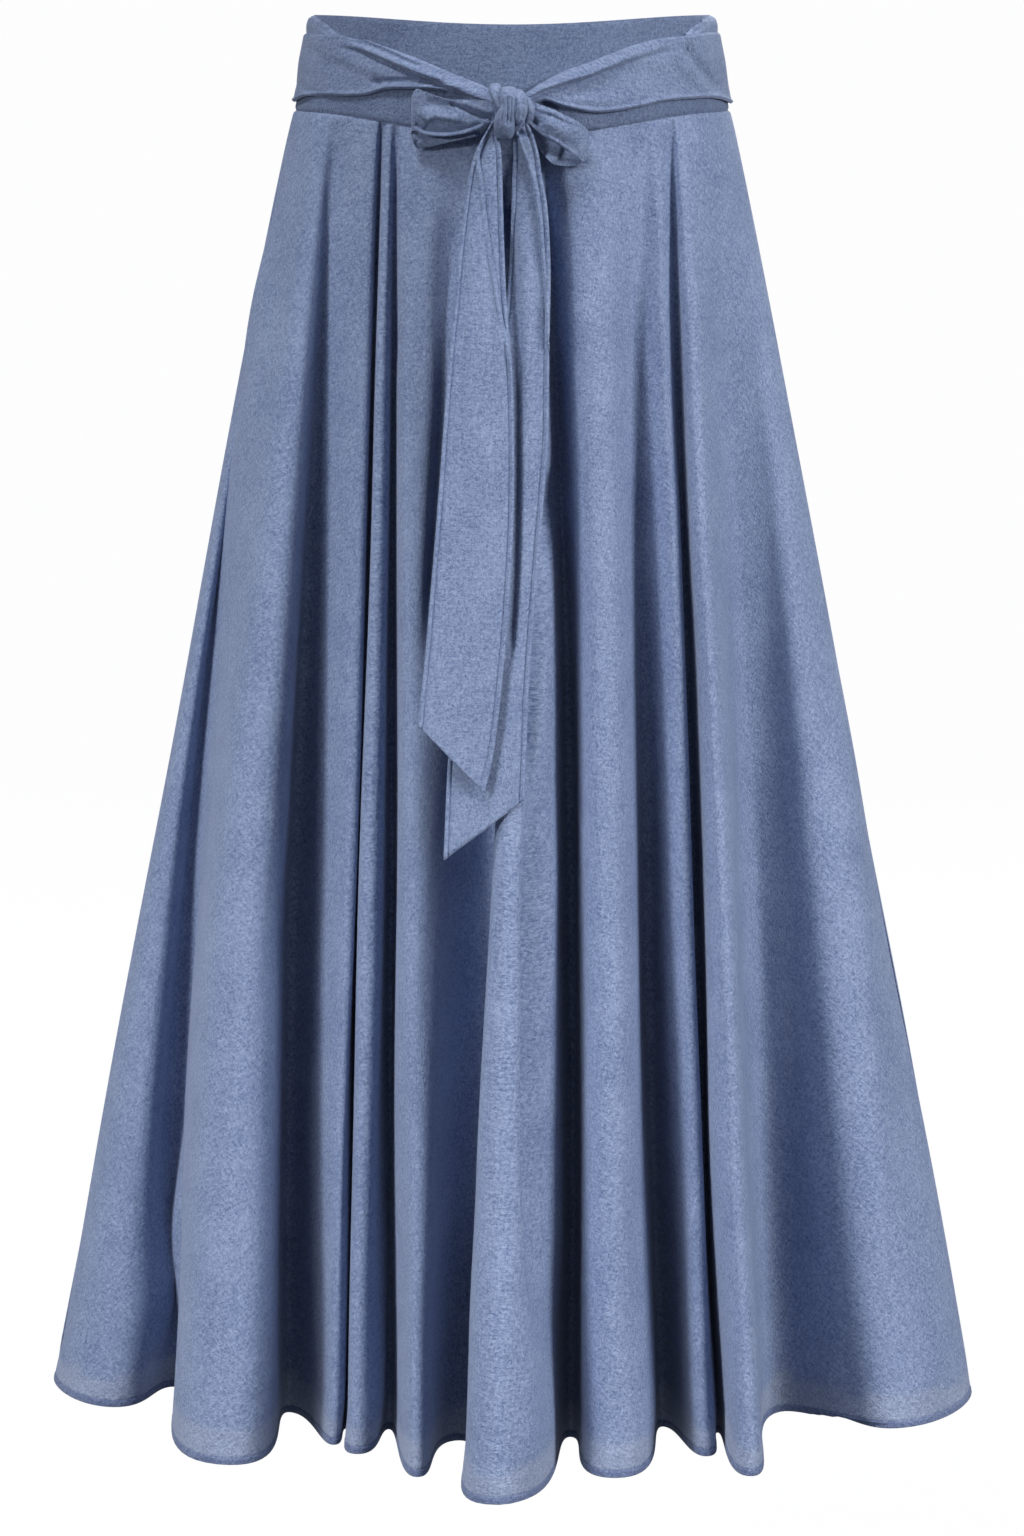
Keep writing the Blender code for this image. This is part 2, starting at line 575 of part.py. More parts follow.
def build():
    clear_scene()
    chambray = cloth_material("chambray", CHAMBRAY)
    sash_cloth = cloth_material("chambray sash", CHAMBRAY_SASH)
    make_yoke("yoke_front", -90.0, 90.0, chambray)
    make_yoke("yoke_back", 90.0, 270.0, chambray)
    make_skirt("skirt_front", FRONT_FOLDS, chambray)
    make_skirt("skirt_back", BACK_FOLDS, chambray)
    make_sash_back("sash_back", sash_cloth)
    make_tuck("sash_tuck_left", TUCK_LEFT_TURNS, sash_cloth)
    make_tuck("sash_tuck_right", TUCK_RIGHT_TURNS, sash_cloth)
    make_knot("knot", sash_cloth)
    room = make_knot_room()
    strips = [
        make_sash_front("sash_left", SASH_LEFT, sash_cloth),
        make_sash_front("sash_right", SASH_RIGHT, sash_cloth),
        make_loop("loop_left", LOOP_LEFT, sash_cloth),
        make_loop("loop_right", LOOP_RIGHT, sash_cloth),
        make_tail("tail_left", TAIL_LEFT, TAIL_LEFT_CLEAR, TAIL_LEFT_START, True, sash_cloth),
        make_tail("tail_right", TAIL_RIGHT, TAIL_RIGHT_CLEAR, TAIL_RIGHT_START, False, sash_cloth),
    ]
    for strip in strips:
        cut_by(strip, room)


build()
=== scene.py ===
import math

import bpy
import numpy as np
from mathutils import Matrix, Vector


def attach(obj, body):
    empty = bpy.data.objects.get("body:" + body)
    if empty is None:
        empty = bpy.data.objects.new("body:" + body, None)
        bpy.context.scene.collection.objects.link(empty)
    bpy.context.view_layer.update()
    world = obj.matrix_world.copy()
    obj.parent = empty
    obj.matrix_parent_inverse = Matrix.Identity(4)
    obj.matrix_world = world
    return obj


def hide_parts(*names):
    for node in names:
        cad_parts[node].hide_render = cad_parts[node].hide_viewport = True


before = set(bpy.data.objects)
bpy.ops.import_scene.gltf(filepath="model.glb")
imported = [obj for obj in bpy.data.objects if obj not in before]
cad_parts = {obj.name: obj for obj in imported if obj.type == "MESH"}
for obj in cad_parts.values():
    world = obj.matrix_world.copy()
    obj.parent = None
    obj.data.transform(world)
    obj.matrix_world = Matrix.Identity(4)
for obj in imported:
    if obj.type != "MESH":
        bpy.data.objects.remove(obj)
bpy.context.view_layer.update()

mm = 0.001  # the tables below are in millimetres, the scene is in metres
# Front is -Y and up is +Z. A turn is an angle round the waist: 0 in front, 90 at the right of the picture.
# "low" is a depth under the waist's top edge.


# Camera, world and lights

view = {
    "place": (0.0, -3.25, 0.0),
    "pitchDown": 8.886,  # degrees
    "lens": 112.887, "sensor": 36.0, "farthest": 60.0,
}

studio = {
    "backdrop": (0.985, 0.985, 0.99), "backdropGlow": 0.99,
    "domeStrength": 0.23,
    "domeLow": (0.55, 0.57, 0.60), "domeTop": (1.0, 1.0, 1.0), "domeBlend": (0.2, 0.8),
    "floorLow": 1180.0, "floorSize": 9000.0, "floorColour": (0.02, 0.02, 0.02), "floorRough": 0.95,
    "lights": [
        # name, kind, place, aims at, size, watts, colour
        # the left light is a soft spot, which leaves the waist a little darker than the skirt
        ("keyLight", "SPOT", (-3.7, -4.4, 1.0), (0.0, 0.0, -0.85), 0.65, 1080.0, (1.0, 0.985, 0.96)),
        ("rightLight", "AREA", (5.1, -2.5, 2.0), (0.0, 0.0, -0.5), 2.2, 325.0, (1.0, 0.99, 0.97)),
        ("highLight", "AREA", (-1.2, -1.5, 3.6), (0.0, 0.0, -0.2), 0.8, 105.0, (1.0, 1.0, 1.0)),
        ("backLight", "AREA", (0.6, 2.9, 1.2), (0.0, 0.0, -0.4), 2.0, 65.0, (1.0, 1.0, 1.0)),
    ],
    "spotCone": 19.0, "spotBlend": 1.0,
}


def addNode(nodes, kind, sockets=None, **settings):
    node = nodes.new("ShaderNode" + kind)
    for name, value in settings.items():
        setattr(node, name, value)
    for name, value in (sockets or {}).items():
        node.inputs[name].default_value = value
    return node


def makeCamera():
    camera = bpy.data.objects.new("camera", bpy.data.cameras.new("camera"))
    camera.data.lens = view["lens"]
    camera.data.sensor_width = view["sensor"]
    camera.data.sensor_fit = "AUTO"
    camera.data.clip_end = view["farthest"]
    camera.location = view["place"]
    camera.rotation_euler = (math.radians(90.0 - view["pitchDown"]), 0.0, 0.0)
    bpy.context.scene.collection.objects.link(camera)
    bpy.context.scene.camera = camera


def makeWorld():
    # what the camera sees is plain white, and what lights the cloth is a softer dome
    world = bpy.data.worlds.new("studioWorld")
    world.use_nodes = True
    bpy.context.scene.world = world
    nodes, links = world.node_tree.nodes, world.node_tree.links
    nodes.clear()
    output = addNode(nodes, "OutputWorld")
    seen = addNode(nodes, "Background", {"Color": (*studio["backdrop"], 1.0)})
    dome = addNode(nodes, "Background", {"Strength": studio["domeStrength"]})
    coords = addNode(nodes, "TexCoord")
    axes = addNode(nodes, "SeparateXYZ")
    lift = addNode(nodes, "MapRange", {"From Min": -1.0})
    ramp = addNode(nodes, "ValToRGB")
    for end, name in enumerate(("domeLow", "domeTop")):
        ramp.color_ramp.elements[end].position = studio["domeBlend"][end]
        ramp.color_ramp.elements[end].color = (*studio[name], 1.0)
    paths = addNode(nodes, "LightPath")
    mix = addNode(nodes, "MixShader")
    links.new(coords.outputs["Generated"], axes.inputs["Vector"])
    links.new(axes.outputs["Z"], lift.inputs["Value"])
    links.new(lift.outputs["Result"], ramp.inputs["Fac"])
    links.new(ramp.outputs["Color"], dome.inputs["Color"])
    links.new(paths.outputs["Is Camera Ray"], mix.inputs["Fac"])
    links.new(dome.outputs["Background"], mix.inputs[1])
    links.new(seen.outputs["Background"], mix.inputs[2])
    links.new(mix.outputs["Shader"], output.inputs["Surface"])


def makeLights():
    for name, kind, place, aim, size, watts, colour in studio["lights"]:
        light = bpy.data.objects.new(name, bpy.data.lights.new(name, kind))
        if kind == "SPOT":
            light.data.shadow_soft_size = size
            light.data.spot_size = math.radians(studio["spotCone"])
            light.data.spot_blend = studio["spotBlend"]
        else:
            light.data.size = size
        light.data.energy = watts
        light.data.color = colour
        light.location = place
        light.rotation_euler = (Vector(aim) - Vector(place)).to_track_quat("-Z", "Y").to_euler()
        bpy.context.scene.collection.objects.link(light)


def makeFloor():
    # a pale floor well under the hem, which shows as the backdrop does and throws no light up
    half, low = studio["floorSize"] * mm / 2, -studio["floorLow"] * mm
    mesh = bpy.data.meshes.new("studioFloor")
    mesh.from_pydata([(-half, -half, low), (half, -half, low), (half, half, low), (-half, half, low)],
                     [], [(0, 1, 2, 3)])
    material = bpy.data.materials.new("paleFloor")
    material.use_nodes = True
    shader = material.node_tree.nodes["Principled BSDF"]
    shader.inputs["Base Color"].default_value = (*studio["floorColour"], 1.0)
    shader.inputs["Roughness"].default_value = studio["floorRough"]
    shader.inputs["Specular IOR Level"].default_value = 0.0
    shader.inputs["Emission Color"].default_value = (*studio["backdrop"], 1.0)
    shader.inputs["Emission Strength"].default_value = studio["backdropGlow"]
    mesh.materials.append(material)
    floor = bpy.data.objects.new("studioFloor", mesh)
    floor.visible_diffuse = False
    floor.visible_glossy = False
    bpy.context.scene.collection.objects.link(floor)


makeCamera()
makeWorld()
makeLights()
makeFloor()
bpy.context.scene.view_settings.view_transform = "Standard"
print("camera, world, lights and floor made")


# Small maths

def column(columns, rows, name):
    return np.array([row[columns.index(name)] for row in rows], dtype=float)


def curveBetween(u, first, firstPull, last, lastPull):
    start = (2 * u**3 - 3 * u**2 + 1) * first + (u**3 - 2 * u**2 + u) * firstPull
    return start + (3 * u**2 - 2 * u**3) * last + (u**3 - u**2) * lastPull


def smoothThrough(stations, values, at):
    # a smooth curve through a table's rows, whose stations rise
    slopes = np.gradient(values, stations)
    at = np.clip(at, stations[0], stations[-1])
    left = np.clip(np.searchsorted(stations, at, side="right") - 1, 0, len(stations) - 2)
    span = stations[left + 1] - stations[left]
    return curveBetween((at - stations[left]) / span, values[left], span * slopes[left],
                        values[left + 1], span * slopes[left + 1])


def tableAt(columns, rows, at):
    stations = np.arange(len(rows), dtype=float)
    return {name: smoothThrough(stations, column(columns, rows, name), at) for name in columns}


def ease(share):
    share = np.clip(share, 0.0, 1.0)
    return share * share * (3.0 - 2.0 * share)


def smoothPath(points, steps):
    points = np.array(points, dtype=float)
    if len(points) == 2:
        return points
    stations = np.arange(len(points), dtype=float)
    at = np.linspace(0.0, stations[-1], steps)
    return np.stack([smoothThrough(stations, points[:, k], at) for k in range(2)], axis=-1)


def edgeShares(count, first=math.pi, last=0.0):
    # shares from the low edge up to the top, closer together at both
    return 0.5 - 0.5 * np.cos(np.linspace(first, last, count + 1))


def seenPlaces(points):
    # where points lie in front view: across, and how low
    return np.stack([points[..., 0], -points[..., 2]], axis=-1)


pathSteps = 16  # places on the smooth curve through a crease's path


def crease(path, wide, high, fade=(0.25, 0.25), between=None):
    # a soft ridge along a path in front view, or a hollow where high is below 0: it has a width on each
    # side of the path, fades in and out over a share of its length, and may be kept to some folds
    return {"path": path, "wide": wide, "high": high, "fade": fade, "between": between}


def creaseHeight(places, line):
    # how high one crease lifts each place
    path = smoothPath(line["path"], pathSteps)
    start, step = path[:-1], path[1:] - path[:-1]
    length = np.linalg.norm(step, axis=-1)
    away = places[:, None, :] - start[None]
    along = np.clip((away * step).sum(-1) / length**2, 0.0, 1.0)
    distance = np.linalg.norm(away - along[..., None] * step, axis=-1)
    near = distance.argmin(axis=1)
    pick = np.arange(len(places))
    side = step[near, 0] * away[pick, near, 1] - step[near, 1] * away[pick, near, 0]
    before = np.concatenate([[0.0], np.cumsum(length)])
    run = (before[near] + along[pick, near] * length[near]) / before[-1]
    wide = np.where(side > 0, line["wide"][0], line["wide"][1])
    fadeIn, fadeOut = line["fade"]
    fade = ease(run / max(fadeIn, 1e-6)) * ease((1.0 - run) / max(fadeOut, 1e-6))
    return line["high"] * fade * np.exp(-(distance[pick, near] / wide) ** 2)


def creaseLift(places, creases, stations=None):
    flat = places.reshape(-1, 2)
    total = np.zeros(len(flat))
    for line in creases:
        lift = creaseHeight(flat, line)
        if line["between"]:
            first, last = line["between"]
            lift = lift * ((stations >= first) & (stations <= last)).ravel()
        total += lift
    return total.reshape(places.shape[:-1])


def outward(points, toward):
    # unit normals of a grid, on the side that faces toward
    across = np.gradient(points, axis=1)
    down = np.gradient(points, axis=0)
    normal = np.cross(across, down)
    normal /= np.maximum(np.linalg.norm(normal, axis=-1, keepdims=True), 1e-9)
    return normal if (normal * toward).sum() > 0 else -normal


def fromAxis(points):
    away = points.copy()
    away[..., 2] = 0.0
    return away / np.maximum(np.linalg.norm(away, axis=-1, keepdims=True), 1e-9)


def runLengths(points, axis):
    step = np.linalg.norm(np.diff(points, axis=axis), axis=-1)
    zero = np.zeros_like(np.take(step, [0], axis=axis))
    return np.concatenate([zero, np.cumsum(step, axis=axis)], axis=axis)


# Cloth meshes

def skirtCollection():
    collection = bpy.data.collections.get("chambraySkirt")
    if collection is None:
        collection = bpy.data.collections.new("chambraySkirt")
        bpy.context.scene.collection.children.link(collection)
    return collection


def clothSheet(name, points, flat, wall, material, side=-1.0, toward=None, edge=None, pale=None):
    # a grid of points in millimetres as a thin shell, with its cut as a UV map in metres
    rows, columns = points.shape[:2]
    index = np.arange(rows * columns).reshape(rows, columns)
    quads = np.stack([index[:-1, :-1], index[:-1, 1:], index[1:, 1:], index[1:, :-1]], axis=-1).reshape(-1, 4)
    facing = fromAxis(points) if toward is None else np.array(toward, dtype=float)
    normal = np.cross(points[:-1, 1:] - points[:-1, :-1], points[1:, :-1] - points[:-1, :-1])
    if (normal * (facing[:-1, :-1] if facing.ndim == 3 else facing)).sum() < 0:
        quads = quads[:, ::-1]
    mesh = bpy.data.meshes.new(name)
    mesh.from_pydata((points.reshape(-1, 3) * mm).tolist(), [], quads.tolist())
    for mapName, spots in (("cut", flat), ("edge", edge)):
        if spots is not None:
            layer = mesh.uv_layers.new(name=mapName)
            layer.data.foreach_set("uv", (spots.reshape(-1, 2)[quads.ravel()] * mm).ravel())
    # pale carries the painted light near the hem: a paler colour where light would show through one layer
    if pale is not None:
        layer = mesh.attributes.new("pale", "FLOAT", "POINT")
        layer.data.foreach_set("value", pale.ravel())
    mesh.materials.append(material)
    mesh.shade_smooth()
    piece = bpy.data.objects.new(name, mesh)
    skirtCollection().objects.link(piece)
    shell = piece.modifiers.new("cloth", "SOLIDIFY")
    shell.thickness = wall * mm
    shell.offset = side
    shell.use_even_offset = False
    return piece


def dress(piece, node):
    # the piece rides on the one body and takes the place of its solid
    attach(piece, "root")
    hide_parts(node)
    return piece


# Chambray

skirtLook = {
    "deep": (0.116, 0.168, 0.325), "pale": (0.292, 0.368, 0.566),
    "weaveFrom": 1.42, "weaveTo": 1.98,  # where the weave starts to turn pale, and where it is palest
    "grain": 500.0, "grainWeight": 1.2, "grainTwist": 0.8,  # mottles in a metre
    "flecks": 330.0, "fleckTwist": 2.0,
    "slubs": (700.0, 90.0), "slubWeight": 0.4,
    "clouds": 22.0, "cloudWeight": 0.4, "noiseRough": 0.6,
    "bump": 0.75, "bumpHigh": 0.0008,
    "rough": (0.58, 0.80), "gloss": 0.35,
    "sheen": 0.35, "sheenRough": 0.4, "sheenTint": (0.72, 0.80, 1.0, 1.0),
    # the hem's turned-up band, painted darker, and the painted light that shows through one layer above it
    "hemBand": 4.6, "hemBlend": (0.6, -0.2), "hemDark": (0.64, 0.64, 0.70), "hemPaintedLight": (0.13, 0.125, 0.10),
}
# painted shade: the yoke, sash and hanging ends are copies of the skirt's chambray painted darker, the yoke
# most, the sash less and the ends least
yokeShadedLook = dict(skirtLook, deep=(0.066, 0.099, 0.196), pale=(0.156, 0.206, 0.338))
sashShadedLook = dict(skirtLook, deep=(0.094, 0.137, 0.262), pale=(0.228, 0.290, 0.454))
endShadedLook = dict(skirtLook, deep=(0.110, 0.159, 0.304), pale=(0.262, 0.332, 0.515))


def mathNode(nodes, links, kind, first, second):
    node = addNode(nodes, "Math", operation=kind)
    for socket, value in zip(node.inputs, (first, second)):
        if isinstance(value, (int, float)):
            socket.default_value = value
        else:
            links.new(value, socket)
    return node.outputs["Value"]


def noiseOf(nodes, links, vector, scale, detail, stretch=(1.0, 1.0), shift=(0.0, 0.0), twist=0.0):
    mapping = addNode(nodes, "Mapping", {"Scale": (*stretch, 1.0), "Location": (*shift, 0.0)})
    noise = addNode(nodes, "TexNoise", {"Scale": scale, "Detail": detail, "Distortion": twist,
                                        "Roughness": skirtLook["noiseRough"]})
    links.new(vector, mapping.inputs["Vector"])
    links.new(mapping.outputs["Vector"], noise.inputs["Vector"])
    return noise.outputs["Fac"]


def chambray(name, look, hem=False):
    material = bpy.data.materials.new(name)
    material.use_nodes = True
    nodes, links = material.node_tree.nodes, material.node_tree.links
    shader = nodes["Principled BSDF"]
    vector = addNode(nodes, "UVMap", uv_map="cut").outputs["UV"]
    grain = noiseOf(nodes, links, vector, look["grain"], 2.0, twist=look["grainTwist"])
    flecks = noiseOf(nodes, links, vector, look["flecks"], 3.0, shift=(2.3, 1.9), twist=look["fleckTwist"])
    warp = noiseOf(nodes, links, vector, 1.0, 2.0, look["slubs"], (3.1, 0.4))
    weft = noiseOf(nodes, links, vector, 1.0, 2.0, look["slubs"][::-1], (0.7, 5.2))
    clouds = noiseOf(nodes, links, vector, look["clouds"], 3.0)
    threads = mathNode(nodes, links, "ADD", warp, weft)
    weave = mathNode(nodes, links, "MULTIPLY", grain, look["grainWeight"])
    weave = mathNode(nodes, links, "ADD", weave, flecks)
    for layer, weight in ((threads, look["slubWeight"]), (clouds, look["cloudWeight"])):
        weave = mathNode(nodes, links, "ADD", weave, mathNode(nodes, links, "MULTIPLY", layer, weight))
    share = addNode(nodes, "MapRange", {"From Min": look["weaveFrom"], "From Max": look["weaveTo"]})
    links.new(weave, share.inputs["Value"])
    colour = addNode(nodes, "Mix", {"A": (*look["deep"], 1.0), "B": (*look["pale"], 1.0)}, data_type="RGBA")
    links.new(share.outputs["Result"], colour.inputs["Factor"])
    shown = colour.outputs["Result"]
    if hem:
        shown = hemShade(nodes, links, look, shown)
    links.new(shown, shader.inputs["Base Color"])
    rough = addNode(nodes, "MapRange", {"To Min": look["rough"][0], "To Max": look["rough"][1]})
    links.new(grain, rough.inputs["Value"])
    links.new(rough.outputs["Result"], shader.inputs["Roughness"])
    bump = addNode(nodes, "Bump", {"Strength": look["bump"], "Distance": look["bumpHigh"]})
    links.new(weave, bump.inputs["Height"])
    links.new(bump.outputs["Normal"], shader.inputs["Normal"])
    shader.inputs["Sheen Weight"].default_value = look["sheen"]
    shader.inputs["Sheen Roughness"].default_value = look["sheenRough"]
    shader.inputs["Sheen Tint"].default_value = look["sheenTint"]
    shader.inputs["Specular IOR Level"].default_value = look["gloss"]
    return material


def hemShade(nodes, links, look, shown):
    # the turned-up band is painted darker, and near the hem the light through one layer is painted on as a
    # paler colour
    edge = addNode(nodes, "UVMap", uv_map="edge")
    axes = addNode(nodes, "SeparateXYZ")
    links.new(edge.outputs["UV"], axes.inputs["Vector"])
    first, last = (look["hemBand"] * mm + blend * mm for blend in look["hemBlend"])
    inBand = addNode(nodes, "MapRange", {"From Min": first, "From Max": last},
                     interpolation_type="SMOOTHSTEP")
    links.new(axes.outputs["Y"], inBand.inputs["Value"])
    dark = addNode(nodes, "Mix", data_type="RGBA", blend_type="MULTIPLY")
    dark.inputs["B"].default_value = (*look["hemDark"], 1.0)
    links.new(inBand.outputs["Result"], dark.inputs["Factor"])
    links.new(shown, dark.inputs["A"])
    # painted light: a paler colour screened on where light would show through one layer
    light = addNode(nodes, "Mix", data_type="RGBA", blend_type="SCREEN")
    light.inputs["B"].default_value = (*look["hemPaintedLight"], 1.0)
    paintedLightMask = addNode(nodes, "Attribute", attribute_name="pale")
    links.new(paintedLightMask.outputs["Fac"], light.inputs["Factor"])
    links.new(dark.outputs["Result"], light.inputs["A"])
    return light.outputs["Result"]


skirtCloth = chambray("skirtChambray", skirtLook, hem=True)
# painted shade: the yoke, sash and ends take the darker copies of the chambray
yokeCloth = chambray("yokePaintedShadeChambray", yokeShadedLook)
sashCloth = chambray("sashPaintedShadeChambray", sashShadedLook)
endCloth = chambray("endPaintedShadeChambray", endShadedLook)
print("chambray made")


# Waist form, the same as in the part's source

waist = {
    "topAcross": 132.5, "topDeep": 100.5,
    "seamAcross": 145.2, "seamDeep": 111.5,
    "seamLow": 62.5, "seamDipFront": 14.0, "seamDipBack": 6.0, "seamCurve": 4.5,
    "topDipFront": 6.0, "topDipBack": 9.0,
    "seamRoom": 0.42, "sideRoom": 0.3,
}


def seamHeight(turn):
    facing = np.cos(np.radians(turn))
    dip = np.where(facing > 0, waist["seamDipFront"], waist["seamDipBack"])
    return -(waist["seamLow"] + dip * np.abs(facing) ** waist["seamCurve"])


def topHeight(turn):
    facing = np.cos(np.radians(turn))
    return np.where(facing > 0, -waist["topDipFront"] * facing**4, -waist["topDipBack"] * facing**2)


def onYoke(turn, height, out):
    share = -height / waist["seamLow"]
    across = waist["topAcross"] + (waist["seamAcross"] - waist["topAcross"]) * share
    deep = waist["topDeep"] + (waist["seamDeep"] - waist["topDeep"]) * share
    sine, cosine = np.sin(np.radians(turn)), np.cos(np.radians(turn))
    away = np.stack([sine / across, -cosine / deep], axis=-1)
    away = away / np.linalg.norm(away, axis=-1, keepdims=True)
    x = across * sine + out * away[..., 0]
    y = -deep * cosine + out * away[..., 1]
    return np.stack([x, y, height + 0.0 * x], axis=-1)


# Skirt panels

skirt = {
    "hemLow": 943.3, "hemDeep": 200.0, "sideFlare": 2.8,
    "wall": 0.7,
    "stepsEachFold": 20,
    "hemRows": (0.0, 0.5, 1.2, 2.4, 3.6, 4.3, 4.8, 5.3, 6.2, 8.0, 11.0, 15.0, 20.0, 26.0, 33.0, 42.0, 52.0),
    "seamRows": (14.0, 8.0, 4.5, 2.4, 1.2, 0.5, 0.0),
    "rowStep": 12.0, "rowRoom": 4.0,
    "hemRaise": 0.35, "hemRaiseUp": 0.4, "hemRaiseOver": 0.6, "hemGroove": 0.55, "hemGrooveWide": 0.45,
    "seamTuck": 0.8, "seamTuckWide": 1.1, "sideTuck": 0.7, "sideTuckWide": 1.5,
    "foldColumns": ("start", "across", "ahead", "way", "sweep", "growth", "bow"),
    # crest and valley by turns, from the left side round the front to the right side
    "frontFolds": (
        (-90, -321, -25, -90, 105, 1, 2),
        (-85, -272, 54, 2, 72, 1, -11),
        (-80, -236, 4, 8, 46, 2, -18),
        (-60, -194, 186, -18, 180, 0.9, -10),
        (-50.5, -152, 66, -14, 52, 0.7, -8),
        (-38.8, -119.5, 142, -6, 28, 0.75, 1),
        (-35.6, -111.5, 104, 0, 18, 0.45, 0),
        (-33, -103, 163, -5, 52, 0.7, 0),
        (-30.8, -83, 106, 0, 24, 0.6, 0),
        (-25.5, -62, 214, -2, 44, 0.9, 0),
        (-0.5, -35, 132, 0, 76, 0.6, 5.5),
        (4.6, -9, 271, 4, 150, 1, 0),
        (8, 39, 124, 0, 44, 0.55, 8),
        (20, 68, 216, 2, 112, 0.9, 2),
        (33, 102, 100, -8, 36, 0.9, -4),
        (39.3, 129, 168, 5, 40, 0.6, 0),
        (45.3, 138.5, 114, 8, 20, 0.6, -4),
        (50, 157, 212, 10, 62, 0.9, -1),
        (66, 191, 60, 3, 118, 1.2, 0),
        (79, 260, 104, 10, 90, 1, 0),
        (90, 319, 10, 88, 120, 1, 0),
    ),
    # and on behind, from the right side back to the left
    "backFolds": (
        (90, 319, 10, 88, 120, 1, 0),
        (98, 254, -50, 98, 52, 1, 0),
        (107, 288, -104, 114, 84, 1, 0),
        (115, 214, -100, 122, 54, 1, 0),
        (124, 234, -176, 136, 92, 1, 0),
        (133, 158, -118, 138, 50, 0.9, 0),
        (142, 164, -218, 152, 92, 1, 0),
        (151, 98, -138, 158, 48, 0.9, 0),
        (160, 88, -246, 168, 94, 1, 0),
        (169, 42, -146, 174, 48, 0.9, 0),
        (179, 2, -256, 180, 104, 1, 0),
        (188, -40, -150, 184, 50, 0.9, 0),
        (198, -84, -246, 191, 102, 1, 0),
        (208, -106, -142, 202, 50, 0.9, 0),
        (218, -168, -214, 210, 100, 1, 0),
        (228, -162, -112, 222, 50, 1, 0),
        (238, -244, -160, 230, 104, 1, 0),
        (252, -242, -72, 252, 62, 1.1, 0),
        (270, -321, -25, 270, 105, 1, 2),
    ),
    # soft creases in front view; between counts the rows of the folds above
    "frontCreases": [
        crease([(-190, 720), (-222, 800), (-252, 925)], (16, 9), 7, between=(0.2, 2.2)),
        crease([(-206, 560), (-222, 700), (-236, 860)], (9, 9), -4, between=(0.6, 2.2)),
        crease([(-158, 120), (-170, 230), (-186, 340), (-200, 440)], (9, 9), 6.5, (0.3, 0.5), (1, 3)),
        crease([(-9, 760), (-10, 880), (-9, 945)], (14, 9), 6, (0.5, 0), (10.2, 12)),
        crease([(2, 790), (-20, 815)], (6, 4), 2, between=(10.2, 12)),
        crease([(16, 440), (17, 560), (18, 660), (21, 770), (24, 872), (25, 943)],
               (8, 8), -22, (0.3, 0.5), (10.4, 12)),
        crease([(26, 470), (27, 560), (28, 660), (30, 770), (32, 872)], (4, 4), 4, between=(10.6, 12)),
        # behind the hanging ends, between them and beside them
        crease([(-3, 95), (2, 190), (3, 241), (2, 311), (-1, 381), (-5, 451)],
               (4, 4), -9, (0.1, 0.2), (9.5, 12)),
        crease([(-34, 100), (-42, 180), (-43, 241), (-45.6, 311), (-50.6, 381), (-56, 451)],
               (7, 8), -11, (0.2, 0.3), (8.5, 11)),
        crease([(25.5, 285), (23.5, 311), (20.5, 350), (18, 381), (15.5, 420), (13.6, 451), (12, 490)],
               (3.2, 3.6), -12, (0.2, 0.1), (10, 12.5)),
        crease([(118, 330), (128, 520), (140, 760)], (7, 7), -2.5, between=(15, 18)),
        crease([(174, 440), (186, 640), (200, 790), (212, 943)], (24, 24), 9, (0.4, 0), (17, 20)),
        crease([(212, 430), (240, 700), (258, 900)], (13, 13), 4, between=(18.2, 20)),
        crease([(-152, 520), (-172, 720), (-186, 900)], (12, 14), -3, between=(2.4, 4)),
        crease([(-42, 520), (-55, 700), (-60, 860)], (7, 7), 2, between=(8.2, 10)),
        crease([(62, 560), (66, 740), (64, 930)], (9, 9), 2, between=(12.4, 14)),
        crease([(-60, 90), (-68, 170), (-74, 240)], (5, 5), -1.6, between=(6, 11)),
        crease([(-52, 100), (-52, 190), (-48, 300)], (6, 5), 1.4, between=(6, 11)),
        crease([(92, 110), (102, 200), (104, 330)], (6, 6), -1.8, between=(13, 18)),
    ],
    "backCreases": [
        crease([(190, 600), (214, 760), (232, 930)], (12, 9), 4, between=(3.2, 5)),
        crease([(76, 560), (86, 740), (90, 940)], (9, 12), 3, between=(7.2, 9)),
        crease([(-4, 660), (6, 800), (2, 940)], (14, 8), 3.5, between=(9.2, 11)),
        crease([(-78, 520), (-90, 720), (-84, 930)], (9, 9), -2.5, between=(11.2, 13)),
        crease([(-140, 560), (-160, 740), (-172, 930)], (8, 13), 4, between=(13.2, 15)),
        crease([(-214, 600), (-232, 780), (-250, 930)], (12, 9), 4.5, between=(15.2, 17)),
        crease([(40, 110), (44, 200), (50, 330)], (6, 6), -1.6, between=(6, 12)),
        crease([(-56, 110), (-64, 220), (-72, 340)], (6, 6), 1.5, between=(10, 15)),
    ],
    # at each fold, how high up the painted light over the hem reaches and how strong it is
    "frontPaintedLight": (
        (16, 0.6), (21, 0.55), (25, 1), (21, 0.5), (26, 1), (17, 0.5), (18, 0.9), (17, 0.5), (20, 0.9),
        (21, 0.55), (26, 0.8), (22, 0.5), (24, 1), (20, 0.55), (27, 1), (17, 0.5), (20, 1), (18, 0.5),
        (24, 0.8), (21, 0.55), (16, 0.6),
    ),
    "backPaintedLight": ((16, 0.6),) + ((20, 0.8), (16, 0.5)) * 9,
    # slow unevenness of the drape: waves round and down, their start, how high
    "waves": ((3.1, 2.3, 0.4, 1.2), (5.3, 4.1, 2.2, 0.7), (8.7, 1.7, 4.0, 0.5)), "wavesFrom": 30.0,
    # painted light through one layer near the hem: how uneven its upper edge is, and how soft
    "paintedLightWaves": ((0.10, 5.0, 0.0), (0.06, 13.0, 1.0)), "paintedLightSoft": 2.5, "paintedLightLowSoft": 1.0,
    "roundCut": 1.80,  # the panel's cut is a part of a ring: its angle
    "ringIn": 225.5,
}


